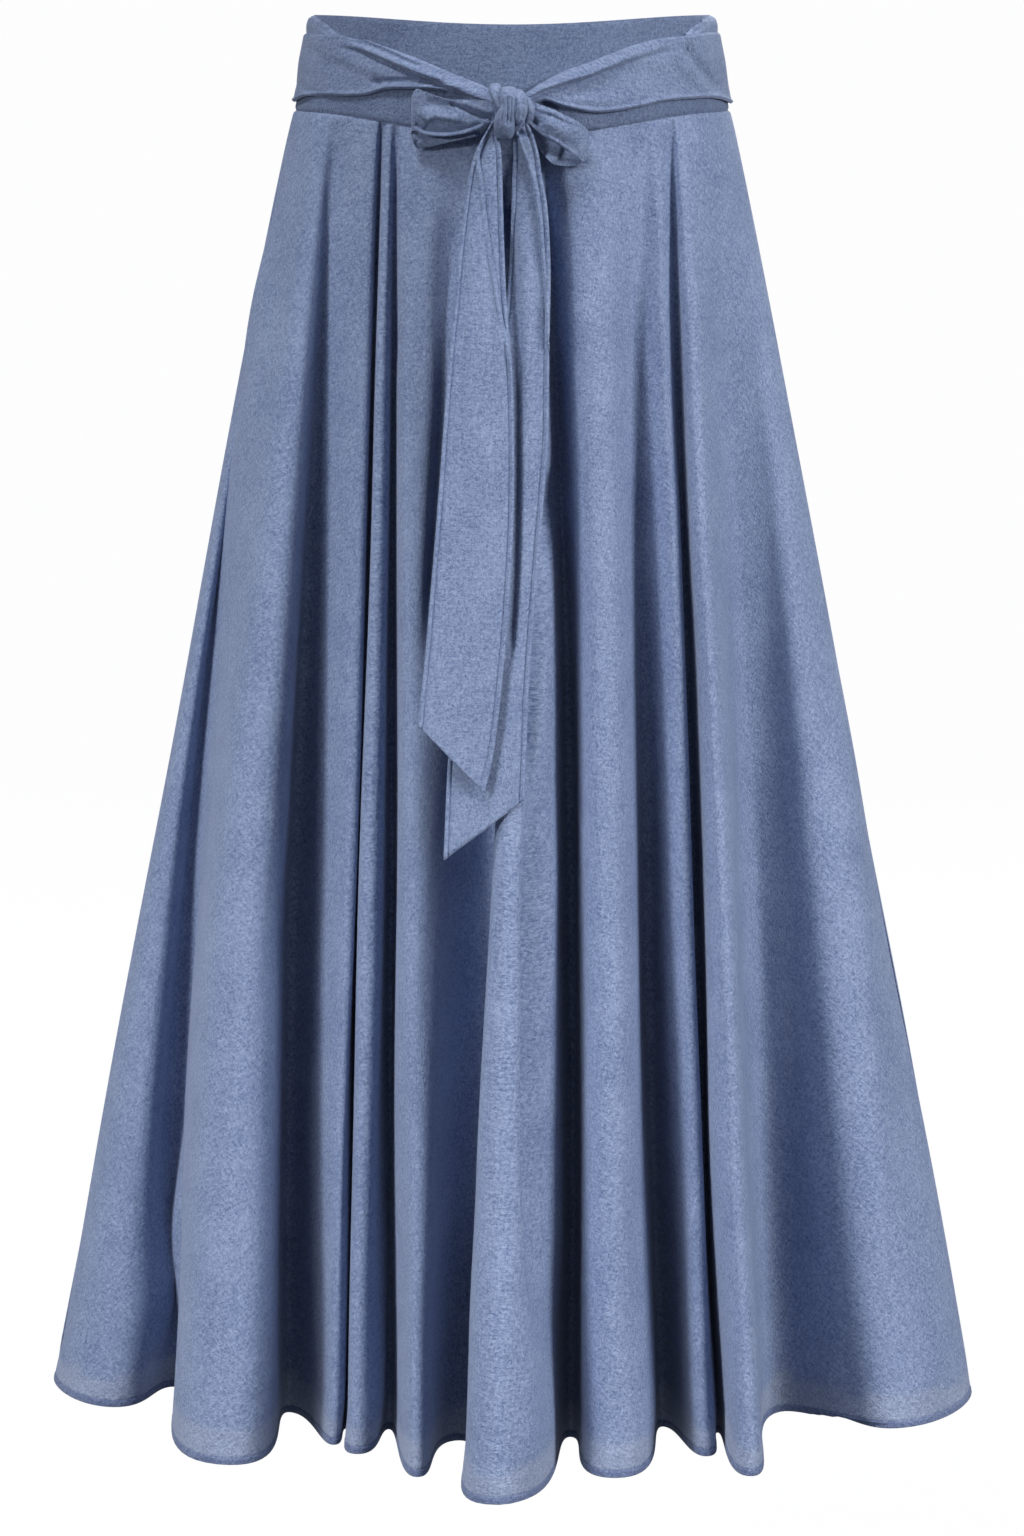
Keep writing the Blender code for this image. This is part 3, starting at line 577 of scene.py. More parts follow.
def foldLine(folds, steps):
    values = {name: column(skirt["foldColumns"], folds, name) for name in skirt["foldColumns"]}
    way = np.radians(values["way"])
    place = np.stack([values["across"], -values["ahead"]], axis=-1)
    pull = np.stack([np.cos(way), np.sin(way)], axis=-1) * values["sweep"][:, None]
    stations = np.arange(len(folds), dtype=float)
    at = np.linspace(0.0, stations[-1], steps * (len(folds) - 1) + 1)
    left = np.clip(at.astype(int), 0, len(folds) - 2)
    hem = curveBetween((at - left)[:, None], place[left], pull[left], place[left + 1], pull[left + 1])
    turn = smoothThrough(stations, values["start"], at)
    across = smoothThrough(stations, values["across"], at)
    straight = np.stack([across, -skirt["hemDeep"] * np.cos(np.radians(turn))], axis=-1)
    bow = smoothThrough(stations, values["bow"], at)
    return at, turn, hem, straight, np.interp(at, stations, values["growth"]), bow


def skirtShares():
    # rows from the hem up to the seam, closer together at both
    long = skirt["hemLow"] - waist["seamLow"]
    low = list(skirt["hemRows"])
    last = long - skirt["seamRows"][0] - skirt["rowRoom"]
    middle = list(np.arange(low[-1] + skirt["rowStep"], last, skirt["rowStep"]))
    fromHem = np.array(low + middle + [long - near for near in skirt["seamRows"]])
    return 1.0 - fromHem / long, fromHem


def makeSkirt(name, node, side):
    at, turn, hem, straight, growth, bow = foldLine(skirt[side + "Folds"], skirt["stepsEachFold"])
    shares, fromHem = skirtShares()
    seam = seamHeight(turn) - 0.5 * waist["seamRoom"]
    top = onYoke(turn, np.full_like(turn, -waist["seamLow"]), 0.0)
    down = shares[:, None]
    share = down[..., None]
    plan = (1 - share) * top[None, :, :2] + share * straight
    plan = plan + (hem - straight) * share ** growth[None, :, None]
    plan[..., 0] += 4 * down * (1 - down) * bow
    plan[..., 0] += 4 * (np.sqrt(down) - down) * skirt["sideFlare"] * np.sin(np.radians(turn))
    height = (1 - down) * seam - down * skirt["hemLow"]
    points = np.concatenate([plan, height[..., None]], axis=-1)
    out = outward(points, fromAxis(points))
    stations = at[None, :] + 0 * height
    lift = creaseLift(seenPlaces(points), skirt[side + "Creases"], stations)
    depth = down * ease(fromHem[:, None] / skirt["wavesFrom"])
    for roundWaves, longWaves, shift, high in skirt["waves"]:
        lift += high * depth * np.sin(roundWaves * stations + longWaves * 4 * down + shift)
    # side seams and hem
    gap = fromHem[:, None]
    band = skirtLook["hemBand"]
    lift += skirt["hemRaise"] * ease((band + skirt["hemRaiseUp"] - gap) / skirt["hemRaiseOver"])
    lift -= skirt["hemGroove"] * np.exp(-((gap - band) / skirt["hemGrooveWide"]) ** 2)
    nearSeam = fromHem[-1] - gap
    lift -= skirt["seamTuck"] * np.exp(-(nearSeam / skirt["seamTuckWide"]) ** 2)
    sides = runLengths(points, 1)
    fromSide = np.minimum(sides, sides[:, -1:] - sides)
    lift -= skirt["sideTuck"] * np.exp(-(fromSide / skirt["sideTuckWide"]) ** 2)
    points = points + out * lift[..., None]
    for edge, inner in ((0, 1), (-1, -2)):
        step = points[:, inner] - points[:, edge]
        points[:, edge] += step / np.linalg.norm(step, axis=-1, keepdims=True) * 0.5 * waist["sideRoom"]
    # the cut: a part of a ring, with straight lines from the seam to the hem
    hemRun = sides[0] / sides[0, -1]
    seamRun = sides[-1] / sides[-1, -1]
    runShare = hemRun * down + seamRun * (1 - down)
    theta = (runShare - 0.5) * skirt["roundCut"]
    radius = skirt["ringIn"] + (fromHem[-1] - gap)
    flat = np.stack([radius * np.sin(theta), -radius * np.cos(theta)], axis=-1)
    edgeMap = np.stack([sides[0][None, :] + 0 * gap, gap + 0 * sides], axis=-1)
    # pale is painted light near the hem, not the cloth's own colour
    pale = paintedLightBand(at, gap, skirt[side + "PaintedLight"])
    piece = clothSheet(name, points, flat, skirt["wall"], skirtCloth, edge=edgeMap, pale=pale)
    return dress(piece, node)


def paintedLightBand(at, gap, paintedLightAt):
    # painted light: how strongly each place near the hem is painted paler, as if light came through one layer
    stations = np.arange(len(paintedLightAt))
    high, strength = (np.interp(at, stations, values) for values in zip(*paintedLightAt))
    uneven = 1.0 + sum(size * np.sin(at * often + shift) for size, often, shift in skirt["paintedLightWaves"])
    fromBand = (gap - skirtLook["hemBand"]) / skirt["paintedLightLowSoft"]
    return strength * ease((high * uneven - gap) / skirt["paintedLightSoft"] + 0.5) * ease(fromBand)


skirtFront = makeSkirt("skirtFrontCloth", "skirt_front", "front")
skirtBack = makeSkirt("skirtBackCloth", "skirt_back", "back")
print("skirt panels made")


# Yoke

yoke = {
    "wall": 0.9, "columns": 150, "rows": 26,
    "topRound": 0.7, "seamTuck": 1.1, "edgeWide": 1.3, "seamLap": 0.5,
}


def makeYoke(name, node, first, last):
    inset = math.degrees(0.5 * waist["sideRoom"] / waist["seamAcross"])
    turns = np.linspace(first + inset, last - inset, yoke["columns"] + 1)
    share = edgeShares(yoke["rows"])[:, None]
    low = seamHeight(turns) - yoke["seamLap"]
    heights = topHeight(turns) * (1 - share) + low * share
    nearTop, nearSeam = topHeight(turns) - heights, heights - low
    out = -yoke["topRound"] * np.exp(-(nearTop / yoke["edgeWide"]) ** 2)
    out = out - yoke["seamTuck"] * np.exp(-(nearSeam / yoke["edgeWide"]) ** 2)
    points = onYoke(turns[None, :] + 0 * heights, heights, out)
    flat = np.stack([runLengths(points, 1), heights], axis=-1)
    return dress(clothSheet(name, points, flat, yoke["wall"], yokeCloth), node)


yokeFront = makeYoke("yokeFrontCloth", "yoke_front", -90.0, 90.0)
yokeBack = makeYoke("yokeBackCloth", "yoke_back", 90.0, 270.0)
print("yokes made")


# Sash round the yoke

sash = {
    "wall": 1.1, "columns": 190, "rows": 54,
    "rowColumns": ("turn", "top", "low", "outTop", "outLow", "roll", "share"),
    "left": (
        (-100, 12.6, 57.5, 3.8, 2.2, 0, 0.20),
        (-84, 12.3, 57, 3.8, 2.3, 0, 0.20),
        (-70, 12.5, 53.2, 3.8, 2.4, 0, 0.20),
        (-57, 12.4, 52.2, 3.8, 2.4, 0, 0.20),
        (-48, 15.4, 52.3, 2.6, 2.4, 1.2, 0.18),
        (-41, 17.7, 51.4, 2.4, 2.4, 2.6, 0.24),
        (-34, 22.1, 47.9, 2.4, 2.4, 3.2, 0.36),
        (-28, 26.4, 47.6, 2.6, 2.5, 3.6, 0.48),
        (-21.5, 31.7, 47.8, 3.2, 3, 4, 0.64),
        (-14, 38.6, 50, 4.6, 4, 4, 0.90),
        (-9, 43, 53.8, 6.6, 6, 3.6, 1),
        (-3, 50, 58, 11, 11, 1.5, 1),
    ),
    "right": (
        (100, 12.6, 58, 3.8, 2.4, 0, 0.20),
        (86, 11.6, 58.4, 3.8, 2.7, 0, 0.20),
        (74, 11.2, 55.6, 3.8, 2.6, 0, 0.20),
        (65, 11.6, 54, 3.8, 2.4, 0, 0.20),
        (55, 13.4, 54.2, 3.8, 2.4, 0, 0.20),
        (44, 15.3, 55.3, 2.6, 2.4, 0.6, 0.20),
        (35, 19.2, 58.8, 2.4, 2.6, 1.4, 0.24),
        (28, 24.2, 61.4, 2.4, 2.8, 2.4, 0.26),
        (21, 30, 62.4, 2.6, 3, 3.4, 0.30),
        (13, 36.6, 58.6, 4, 4, 4, 0.38),
        (8, 42.6, 54.6, 7, 7, 3.4, 0.52),
        (3, 50, 58, 11, 11, 1.5, 0.60),
    ),
    "settleFrom": 0.35, "settleOver": 0.45,
    # the rolled upper edge, and the groove under it
    "rollHigh": 1.15, "rollHang": 1.9, "rollFull": 3.0, "rollWhole": 0.85,
    "rollGroove": 1.9, "rollGrooveLow": 0.8, "rollGrooveWide": 1.5,
    "edgeRoll": 1.1, "edgeRollUp": 1.6, "edgeRollWide": 1.2,
    "edgeRound": 0.8, "lowRoundWide": 0.7, "topRoundWide": 0.9,
    "leftCreases": [
        crease([(-106, 16.5), (-90, 21.5), (-70, 29.5), (-52, 37)], (0.9, 5), -3, (0.12, 0.3)),
        crease([(-104, 14.2), (-88, 18.8), (-70, 26.6), (-52, 34)], (1.8, 1.2), 1.7, (0.2, 0.3)),
        crease([(-93, 43), (-88.5, 44.2), (-84, 46.5)], (0.8, 3.5), -2, (0.3, 0.4)),
        crease([(-96, 47.5), (-84, 45), (-60, 44.5), (-34, 45.5)], (2.6, 0.9), 2, (0.3, 0.2)),
        crease([(-98, 44.5), (-86, 42), (-62, 41.4), (-40, 42)], (3, 1.2), -1.6, (0.3, 0.2)),
        crease([(-146, 45), (-134, 50), (-118, 52.5)], (2, 3), -1.2),
        crease([(-138, 20), (-124, 30), (-104, 36)], (5, 5), -1.2),
        crease([(-120, 24), (-96, 34), (-66, 42)], (3, 5), 1.1),
        crease([(-64, 27), (-44, 33), (-24, 40)], (1.2, 1.8), -0.6),
    ],
    "rightCreases": [
        crease([(114, 16), (119, 26), (129, 39), (140, 51)], (4.5, 2.4), -2.4, (0.2, 0.2)),
        crease([(104, 20), (112, 32), (124, 45), (132, 52)], (4, 5), 1.2),
        crease([(16, 45), (32, 37), (54, 30)], (1.2, 6), -2.2, (0.05, 0.4)),
        crease([(21, 51), (40, 54), (62, 55), (84, 52)], (3, 2.2), 0.8, (0.1, 0.4)),
        crease([(30, 49), (52, 47), (80, 44)], (3, 4), -0.6, (0.1, 0.5)),
        crease([(60, 22), (84, 26), (104, 36)], (5, 6), 0.7),
    ],
}


def sashEdges(height, top, low):
    # the low edge is rolled, and both are rounded off
    fromLow, fromTop = height + low, -top - height
    rounded = np.exp(-(fromLow / sash["lowRoundWide"]) ** 2) + np.exp(-(fromTop / sash["topRoundWide"]) ** 2)
    roll = np.exp(-((fromLow - sash["edgeRollUp"]) / sash["edgeRollWide"]) ** 2)
    return sash["edgeRoll"] * roll - sash["edgeRound"] * rounded


def sashSheet(name, node, turn, height, out, edges, creases, wall=sash["wall"]):
    # a stretch of the sash that lies on the yoke
    turn = turn + 0 * height
    lift = creaseLift(seenPlaces(onYoke(turn, height, out)), creases) + edges
    points = onYoke(turn, height, out + lift)
    flat = np.stack([runLengths(points, 1), height], axis=-1)
    return dress(clothSheet(name, points, flat, wall, sashCloth), node)


def makeSashFront(name, node, side):
    at = np.linspace(0.0, len(sash[side]) - 1.0, sash["columns"] + 1)
    value = tableAt(sash["rowColumns"], sash[side], at)
    share = edgeShares(sash["rows"])[:, None]
    height = -(value["top"] * (1 - share) + value["low"] * share)
    settle = ease((share - sash["settleFrom"]) / sash["settleOver"])
    out = value["outTop"] * (1 - settle) + value["outLow"] * settle
    inRoll = np.clip(share / value["share"], 0.0, 1.0)
    out = out + sash["rollHigh"] * value["roll"] * np.sin(math.pi * inRoll ** sash["rollHang"])
    underRoll = (share - value["share"]) * (value["low"] - value["top"]) - sash["rollGrooveLow"]
    groove = np.exp(-(underRoll / sash["rollGrooveWide"]) ** 2) * (value["share"] < sash["rollWhole"])
    out = out - sash["rollGroove"] * np.clip(value["roll"] / sash["rollFull"], 0.0, 1.0) * groove
    edges = sashEdges(height, value["top"], value["low"])
    return sashSheet(name, node, value["turn"], height, out, edges, sash[side + "Creases"])


sashLeft = makeSashFront("sashLeftCloth", "sash_left", "left")
sashRight = makeSashFront("sashRightCloth", "sash_right", "right")


sashBehind = {
    "turns": (100.08, 259.92), "top": (12.6, 16.0), "low": (57.8, 60.0), "out": 2.4,
    "pleats": 3, "pleatHigh": 1.2, "sideOut": 1.4,
    "creases": [
        crease([(-126, 24), (-70, 30), (0, 29), (70, 33), (124, 26)], (1.4, 4.5), -1.1, (0.1, 0.1)),
        crease([(-128, 46), (-60, 43), (10, 46), (80, 42), (128, 47)], (4, 1.4), -1, (0.1, 0.1)),
        crease([(-60, 36), (-20, 38), (30, 36)], (2, 3), 0.8),
        crease([(40, 52), (70, 50), (100, 53)], (2, 2), 0.7),
    ],
}


def makeSashBehind():
    turns = np.linspace(*sashBehind["turns"], sash["columns"] + 1)
    behind = np.sin(math.pi * (turns - turns[0]) / (turns[-1] - turns[0]))
    top = sashBehind["top"][0] + (sashBehind["top"][1] - sashBehind["top"][0]) * behind
    low = sashBehind["low"][0] + (sashBehind["low"][1] - sashBehind["low"][0]) * behind
    share = edgeShares(sash["rows"])[:, None]
    height = -(top * (1 - share) + low * share)
    settle = ease((share - sash["settleFrom"]) / sash["settleOver"])
    out = sashBehind["pleatHigh"] * behind * np.sin(sashBehind["pleats"] * math.pi * share) ** 2
    out = out + sashBehind["out"] + (1.0 - behind) * (1 - settle) * sashBehind["sideOut"]
    edges = sashEdges(height, top, low)
    return sashSheet("sashBackCloth", "sash_back", turns, height, out, edges, sashBehind["creases"])


sashBack = makeSashBehind()


tuck = {
    "left": (-57.0, -112.0), "right": (56.0, 112.0),
    "top": 0.6, "low": 23.0, "out": 1.75, "wall": 1.0,
    "columns": 70, "rows": 30, "slopePart": 0.42, "slopeDrop": 11.5,
    "roll": 1.5, "rollLow": 5.5, "topRound": 1.6, "topRoundWide": 1.0,
    "leftCreases": [
        crease([(-131, 1.5), (-124, 3), (-119, 7), (-115, 13)], (1, 2.6), -2.6, (0.1, 0.1)),
        crease([(-128, 2.5), (-121, 5), (-116.5, 9), (-112.5, 14)], (1.6, 0.9), 1.8, (0.1, 0.1)),
        crease([(-122, 8), (-120, 12), (-121, 16)], (1, 2.4), -1.6, (0.2, 0.1)),
    ],
    "rightCreases": [
        crease([(131, 1.5), (124, 3), (119, 7), (115, 13)], (2.6, 1), -2.6, (0.1, 0.1)),
        crease([(128, 2.5), (121, 5), (116.5, 9), (112.5, 14)], (0.9, 1.6), 1.8, (0.1, 0.1)),
        crease([(122, 8), (120, 12), (121, 16)], (2.4, 1), -1.6, (0.2, 0.1)),
    ],
}


def makeTuck(name, node, side):
    # the turned-in edge, which slopes up out of the sash in front
    along = np.linspace(0.0, 1.0, tuck["columns"] + 1)
    turn = tuck[side][0] + (tuck[side][1] - tuck[side][0]) * along
    risen = np.sin(0.5 * math.pi * np.clip(along / tuck["slopePart"], 0.0, 1.0))
    top = tuck["top"] + (1 - risen) * tuck["slopeDrop"] - topHeight(turn)
    share = edgeShares(tuck["rows"])[:, None]
    height = -(top * (1 - share) + tuck["low"] * share)
    fromTop = -top - height
    edges = tuck["roll"] * np.exp(-((fromTop - tuck["rollLow"]) / tuck["rollLow"]) ** 2)
    edges = edges - tuck["topRound"] * np.exp(-(fromTop / tuck["topRoundWide"]) ** 2)
    return sashSheet(name, node, turn, height, tuck["out"], edges, tuck[side + "Creases"], tuck["wall"])


tuckLeft = makeTuck("sashTuckLeftCloth", "sash_tuck_left", "left")
tuckRight = makeTuck("sashTuckRightCloth", "sash_tuck_right", "right")
print("sash round the yoke made")


# Loops of the bow

loop = {
    "wall": 1.0, "long": 90, "round": 14, "rows": 56, "crown": 1.2, "crownOver": 2.0, "tipRound": 4.0,
    "knotWide": 7.0, "knotFade": 6.0,  # no crease this near the knot
    "rowColumns": ("across", "top", "low", "backTop", "backLow", "ahead", "half"),
    "left": (
        (-5, 58, 63, 59, 64, 126.5, 1.6),
        (-13, 55, 68, 56, 71, 125.5, 2.6),
        (-20, 54, 72, 55, 76, 123.5, 4.2),
        (-30, 53.8, 75, 54.5, 78.8, 121, 5.6),
        (-42, 53.4, 76.8, 54, 81.4, 117.5, 6.2),
        (-54, 49.6, 76.6, 53, 84.2, 113, 5.2),
        (-61, 47, 74, 52, 85.2, 109.8, 3.6),
    ),
    "right": (
        (5, 58, 64, 59, 66, 126.5, 1.6),
        (12, 55.2, 70, 57, 76, 125.5, 2.8),
        (18, 57, 74.8, 60, 86, 124, 4.4),
        (26, 60, 79.8, 64, 94.4, 121.6, 5.6),
        (35, 64.4, 85.4, 69, 96.3, 118.8, 5.8),
        (42, 67.8, 90.2, 73, 95.8, 116.6, 4.8),
        (46, 71, 93.6, 76, 94.8, 115.2, 3.4),
    ),
    "leftCreases": [
        # under the upper pleat
        crease([(-42, 55.5), (-32, 60), (-22, 64.5), (-12, 67)], (0.9, 4), -4.4, (0.15, 0.05)),
        crease([(-42, 54.4), (-28, 57.5), (-18, 61), (-10, 63)], (2.4, 2.2), 2.4, (0.1, 0.1)),
        # the middle hollow and the lower bulge
        crease([(-58, 55), (-47, 57.5), (-34, 61)], (5, 4), -3.2, (0.3, 0.3)),
        crease([(-61, 60.5), (-57.5, 64.5), (-54, 66.5), (-50, 64.5), (-42, 65.5), (-28, 67.5)],
               (1.3, 5), 2.6, (0.1, 0.3)),
        crease([(-30, 70), (-20, 69), (-12, 66)], (3, 3), 2),
        crease([(-52, 67), (-54, 70.5), (-57, 74.5)], (1.6, 1.3), -2.4, (0.3, 0.1)),
        # the turned edge along the bottom
        crease([(-63, 69), (-58, 72.8), (-50, 74.4), (-42, 74.6), (-30, 72.4), (-18, 68.4)],
               (0.9, 2.4), -2, (0.05, 0.05)),
        crease([(-63, 71.4), (-58, 75), (-50, 76.4), (-42, 76.6), (-30, 74.4), (-18, 70.6)],
               (0.9, 0.9), 1.4, (0.05, 0.05)),
    ],
    "rightCreases": [
        crease([(12, 66), (15.5, 68.5), (18, 71)], (2, 2.2), -3.4, (0.3, 0.4)),
        crease([(14, 58.5), (26, 62.5), (40, 69)], (1.2, 2), 1, (0.1, 0.1)),
        crease([(20, 66), (30, 71), (40, 79)], (6, 6), 2.4),
        crease([(20, 62), (28, 66), (34, 71)], (2.4, 2), -1.2),
        crease([(22, 76.5), (32, 82.5), (42, 90)], (1, 1.2), 1.1, (0.1, 0.1)),
    ],
    # the layer behind comes forward under the turned edge
    "leftBackCreases": [
        crease([(-64, 80), (-50, 80.5), (-36, 79), (-20, 75)], (7, 7), 6.5, (0, 0.1)),
    ],
    "rightBackCreases": [
        # the edge that turns forward inside, below the front layer
        crease([(24, 95.5), (28, 92), (30.5, 88), (31.6, 83)], (0.8, 7), 2.5, (0, 0)),
        crease([(20, 90), (32, 95), (45, 94.6)], (6, 6), 4.5, (0.1, 0)),
    ],
}


def makeLoop(name, node, side):
    rows = loop[side]
    at = np.linspace(0.0, len(rows) - 1.0, loop["long"] + 1)
    value = tableAt(loop["rowColumns"], rows, at)
    roundTurn = np.linspace(-90.0, 90.0, loop["round"] + 1)[1:-1]
    sign = 1.0 if rows[-1][0] > 0 else -1.0
    tip = {key: value[key][-1] for key in value}
    tipX = tip["across"] + sign * tip["half"] * np.cos(np.radians(roundTurn))
    tipAhead = tip["ahead"] - tip["half"] * np.sin(np.radians(roundTurn))
    behind = ease((roundTurn + 90.0) / 180.0)
    rounded = loop["tipRound"] * np.cos(np.radians(roundTurn)) ** 2
    tipTop = tip["top"] * (1 - behind) + tip["backTop"] * behind + rounded
    tipLow = tip["low"] * (1 - behind) + tip["backLow"] * behind - rounded
    x = np.concatenate([value["across"], tipX, value["across"][::-1]])
    ahead = np.concatenate([value["ahead"] + value["half"], tipAhead, (value["ahead"] - value["half"])[::-1]])
    top = np.concatenate([value["top"], tipTop, value["backTop"][::-1]])
    low = np.concatenate([value["low"], tipLow, value["backLow"][::-1]])
    middle = np.interp(sign * x, sign * value["across"], value["ahead"])
    isFront = np.arange(len(x)) <= loop["long"] + loop["round"] // 2
    share = edgeShares(loop["rows"])[:, None]
    height = -(top * (1 - share) + low * share)
    points = np.stack([x + 0 * height, -(ahead + 0 * height), height], axis=-1)
    clearOfKnot = ease((np.abs(x) - loop["knotWide"]) / loop["knotFade"])
    lift = loop["crown"] * np.sin(math.pi * share) * np.clip((ahead - middle) / loop["crownOver"], -1, 1)
    for creases, shown in ((loop[side + "Creases"], isFront), (loop[side + "BackCreases"], ~isFront)):
        lift += creaseLift(seenPlaces(points), creases) * shown * clearOfKnot
    points[..., 1] -= lift
    flat = np.stack([runLengths(points, 1), height], axis=-1)
    return dress(clothSheet(name, points, flat, loop["wall"], sashCloth, side=0.0), node)


loopLeft = makeLoop("loopLeftCloth", "loop_left", "left")
loopRight = makeLoop("loopRightCloth", "loop_right", "right")
print("loops made")


# Hanging ends

tail = {
    "wall": 1.1, "long": 230, "rows": 60, "camber": 1.8,
    "step": 2.6, "stepWide": 0.035,  # the folded-over flap
    # the stitched edges: a ridge and a groove beside them, and a ridge along the fold
    "rim": 1.0, "rimWide": 0.9, "rimIn": 0.9, "grooveIn": 2.8, "foldRimIn": 1.2, "rimFullAt": 14.0,
    "rowColumns": ("left", "leftLow", "right", "rightLow", "fold"),
    "left": (
        (-8, 63, -3.5, 63, 0.1),
        (-14.5, 71, -9, 72, 0.1),
        (-22.9, 87.1, -7.2, 89, 0.13),
        (-28, 105.7, -6.6, 105, 0.40),
        (-33.5, 148.3, -5.4, 146, 0.68),
        (-37, 186.2, -3.6, 186, 0.88),
        (-41.5, 232.8, 0.2, 234, 1.05),
        (-47, 306.4, 1, 306, 1.2),
        (-51.5, 360, -1.6, 364, 1.3),
        (-55.6, 407.8, -5.8, 415, 1.3),
        (-58.7, 437, -11.6, 465, 1.3),
        (-60, 451.1, -17.7, 493.8, 1.3),
    ),
    "right": (
        (1.5, 63, 5.5, 63, 0.1),
        (0.4, 72, 12, 73, 0.1),
        (1.3, 87.8, 16.7, 88, 0.38),
        (0.6, 101.8, 18.8, 101.8, 0.62),
        (0, 126, 22.8, 126, 0.72),
        (-2, 163.8, 24.5, 163.8, 0.84),
        (-6, 200, 23.9, 200, 0.95),
        (-12, 237.6, 23.5, 237.6, 1.1),
        (-20, 277, 22.6, 276.9, 1.2),
        (-30, 350, 16.7, 349.9, 1.3),
        (-37, 423, 10.9, 422.8, 1.3),
        (-40.9, 474.7, 9.2, 462, 1.3),
        (-43.8, 537.3, 7.7, 499.4, 1.3),
    ),
    "leftClear": 10.4, "rightClear": 5.4, "leftStart": 131.0, "rightStart": 129.0, "leave": 3.0,
    "leftCreases": [
        crease([(-15, 84), (-17, 120), (-14, 170), (-12, 240)], (3, 3), -0.9),
        crease([(-24, 110), (-27, 180), (-30, 300)], (3, 6), 0.7),
        crease([(-20, 230), (-22, 330), (-28, 430)], (7, 7), 0.9),
    ],
    "rightCreases": [
        crease([(3, 75), (8, 76.5), (13, 77)], (1.2, 2.6), -2.6, (0.1, 0.1)),
        crease([(-1, 110), (1, 150), (3, 190), (4.5, 240), (3.5, 306), (2, 364), (-2, 420)],
               (6, 3), -4.5, (0.15, 0.1)),
        crease([(17, 170), (15, 300), (3, 430)], (4, 4), -0.8),
        crease([(6, 110), (9, 180), (10, 300)], (4, 4), 0.8),
    ],
}


def skirtAhead(low):
    crest = column(skirt["foldColumns"], skirt["frontFolds"], "ahead").max()
    start = waist["seamLow"] + waist["seamDipFront"]
    return waist["seamDeep"] + (crest - waist["seamDeep"]) * np.clip(
        (low - start) / (skirt["hemLow"] - start), 0.0, 1.0)


def makeTail(name, node, side):
    at = np.linspace(0.0, len(tail[side]) - 1.0, tail["long"] + 1)
    value = tableAt(tail["rowColumns"], tail[side], at)
    share = edgeShares(tail["rows"], 0.0, math.pi)
    x = value["left"][:, None] * (1 - share) + value["right"][:, None] * share
    low = value["leftLow"][:, None] * (1 - share) + value["rightLow"][:, None] * share
    hang = skirtAhead(low) + tail[side + "Clear"]
    ahead = np.logaddexp(hang / tail["leave"], tail[side + "Start"] / tail["leave"]) * tail["leave"]
    flap = ease((share - value["fold"][:, None]) / tail["stepWide"] + 0.5)
    flap = flap if side == "left" else 1 - flap
    ahead = ahead - tail["step"] * flap - tail["camber"] * (2 * share - 1) ** 2
    width = value["right"] - value["left"]
    fromFold = np.abs(share - value["fold"][:, None]) * width[:, None]
    fromRim = np.minimum(share, 1 - share) * width[:, None]
    foldRim, rim, groove = (np.exp(-((away - tail[name]) / tail["rimWide"]) ** 2) for away, name in (
        (fromFold, "foldRimIn"), (fromRim, "rimIn"), (fromRim, "grooveIn")))
    ahead = ahead + tail["rim"] * foldRim * (flap < 0.5)
    ahead = ahead + tail["rim"] * (rim - groove) * np.clip(width / tail["rimFullAt"], 0, 1)[:, None]
    ahead = ahead + creaseLift(np.stack([x, low], axis=-1), tail[side + "Creases"])
    points = np.stack([x, -ahead, -low], axis=-1)[::-1]
    flat = np.stack([runLengths(points, 1), points[..., 2]], axis=-1)
    piece = clothSheet(name, points, flat, tail["wall"], endCloth, side=0.0, toward=(0.0, -1.0, 0.0))
    return dress(piece, node)


tailLeft = makeTail("tailLeftCloth", "tail_left", "left")
tailRight = makeTail("tailRightCloth", "tail_right", "right")
print("hanging ends made")


# Knot

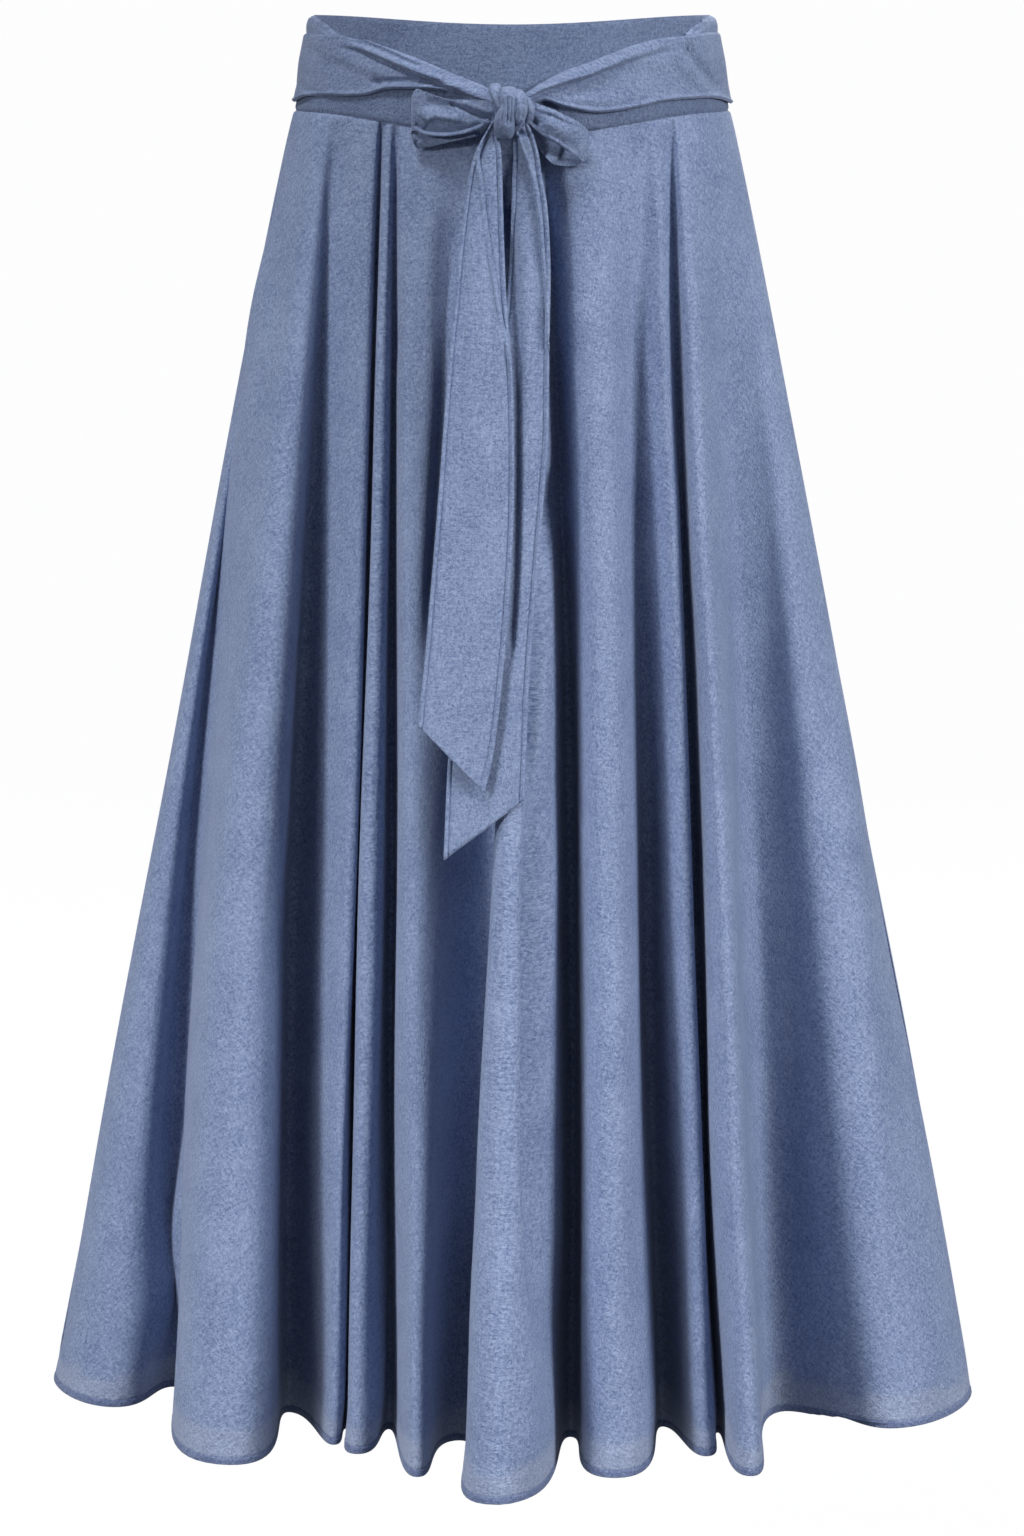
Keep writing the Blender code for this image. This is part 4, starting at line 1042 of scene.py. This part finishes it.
knot = {
    "core": ((0.0, -126.5, -60.6), (12.0, 11.5, 14.0)), "coreWall": 1.0, "coreSteps": (64, 32),
    "wall": 1.1, "long": 60, "rows": 26, "edgeRound": 2.4,
    # the wraps bulge away from this place, ahead and low, and their creases start this far ahead
    "middle": (124.0, 60.6), "spread": 0.25, "creaseFrom": 132.0, "creaseOver": 3.0,
    # each wrap: across and low of its middle, half its width, how far ahead its middle is, its crown
    "wrapColumns": ("across", "low", "half", "ahead", "crown", "lean"),
    "wraps": {
        "knotMain": (
            (-2, 48.5, 5.6, 126, 0.8, 0),
            (-2.2, 46.6, 6.2, 133, 1.4, 0),
            (-2.6, 50.5, 5.8, 138.4, 1.8, 0.4),
            (-2.8, 57.5, 4.6, 140.9, 1.6, 0.8),
            (-4.6, 66, 6.4, 140.3, 2, 0.3),
            (-5.2, 73.5, 6.8, 136.5, 2.4, 0),
            (-5, 77.3, 6.2, 130, 1.6, 0),
            (-4.8, 75, 5, 124.5, 0.8, 0),
        ),
        "knotStrap": (
            (-10.8, 47, 4.2, 124.5, 0.8, 0),
            (-11.2, 44.4, 4.4, 130, 1.2, -0.3),
            (-11, 48, 4, 134.6, 1.2, -0.5),
            (-8.6, 55, 3, 137, 0.8, -0.3),
            (-5.6, 62, 2.4, 137.4, 0.6, 0),
        ),
        "knotBulge": (
            (3, 50, 2, 127, 0.6, 0),
            (4.4, 48.4, 3.6, 133, 1.2, 0),
            (5, 52.5, 4.8, 137, 2.2, 0),
            (5.2, 59.5, 5.2, 139, 2.6, 0),
            (4.6, 66, 4.4, 137.2, 2.2, 0),
            (3.4, 69, 3.2, 132.5, 1.4, 0),
            (2.6, 69, 2.2, 127, 0.6, 0),
        ),
        "knotFold": (
            (9, 52, 1.6, 127, 0.4, 0),
            (10.4, 53.5, 2.4, 131.4, 0.8, 0),
            (11.6, 59.5, 2.9, 133.6, 1.2, 0),
            (10.8, 65.6, 2.7, 132.6, 1.2, 0),
            (7.6, 69.4, 2, 129.5, 0.8, 0),
        ),
        "knotUnder": (
            (11.6, 55, 1.4, 125, 0.4, 0),
            (13.4, 57.5, 1.9, 128.8, 0.8, 0),
            (14, 62.2, 2, 129.6, 0.8, 0),
            (12.6, 67.2, 1.8, 128, 0.6, 0),
            (10, 70, 1.4, 125, 0.4, 0),
        ),
    },
    "creases": [
        crease([(-3.4, 49), (-2.6, 58), (-3.6, 71)], (0.9, 1.1), -2.4),
        crease([(-0.8, 50), (-0.4, 60), (-1.8, 72)], (0.8, 0.9), -2),
        crease([(-5.8, 52), (-5.2, 60), (-7.4, 70)], (0.9, 1.1), -1.7),
        crease([(6.4, 52), (7.2, 60), (5.4, 68)], (0.9, 1.6), -1.8),
        crease([(2.8, 53), (3.4, 60), (2.4, 66)], (1.2, 0.9), -1.2),
    ],
}


def wrapPoints(rows, creases):
    # a band of cloth that runs over the knot from its top down and under
    at = np.linspace(0.0, len(rows) - 1.0, knot["long"] + 1)
    value = tableAt(knot["wrapColumns"], rows, at)
    share = np.linspace(-1.0, 1.0, knot["rows"] + 1)[None, :]
    middle = np.stack([value["across"], -value["ahead"], -value["low"]], axis=-1)
    along = np.gradient(middle, axis=0)
    along /= np.linalg.norm(along, axis=-1, keepdims=True)
    ahead, low = knot["middle"]
    away = np.stack([knot["spread"] * value["across"], ahead - value["ahead"], low - value["low"]], axis=-1)
    away -= (away * along).sum(-1, keepdims=True) * along
    away /= np.linalg.norm(away, axis=-1, keepdims=True)
    across = np.cross(along, away)
    across *= np.sign(across[:, :1])
    rise = value["crown"][:, None] * (1.0 - share ** 2) - knot["edgeRound"] * np.abs(share) ** 7
    rise = rise + value["lean"][:, None] * share
    points = middle[:, None, :] + across[:, None, :] * (share[..., None] * value["half"][:, None, None])
    points = points + away[:, None, :] * rise[..., None]
    front = ease((value["ahead"] - knot["creaseFrom"]) / knot["creaseOver"])[:, None]
    return points + away[:, None, :] * (creaseLift(seenPlaces(points), creases) * front)[..., None]


def makeKnot():
    pieces = []
    centre, half = knot["core"]
    turn = np.linspace(0.0, 2 * math.pi, knot["coreSteps"][0] + 1)[None, :]
    tilt = np.linspace(-math.pi / 2, math.pi / 2, knot["coreSteps"][1] + 1)[:, None]
    core = np.stack([centre[0] + half[0] * np.cos(tilt) * np.sin(turn),
                     centre[1] - half[1] * np.cos(tilt) * np.cos(turn),
                     centre[2] + half[2] * np.sin(tilt) + 0 * turn], axis=-1)
    flat = np.stack([core[..., 0], core[..., 2]], axis=-1)
    facing = core - np.array(centre)
    pieces.append(clothSheet("knotCore", core, flat, knot["coreWall"], sashCloth, toward=facing))
    for name, rows in knot["wraps"].items():
        points = wrapPoints(rows, knot["creases"])
        flat = np.stack([runLengths(points, 1), -runLengths(points, 0)], axis=-1)
        pieces.append(clothSheet(name, points, flat, knot["wall"], sashCloth, toward=(0.0, -1.0, 0.0)))
    for piece in pieces:
        dress(piece, "knot")


makeKnot()
print("knot made")

# the sash is one strip, finished 56 wide: each stretch that shows has its own share of the cut
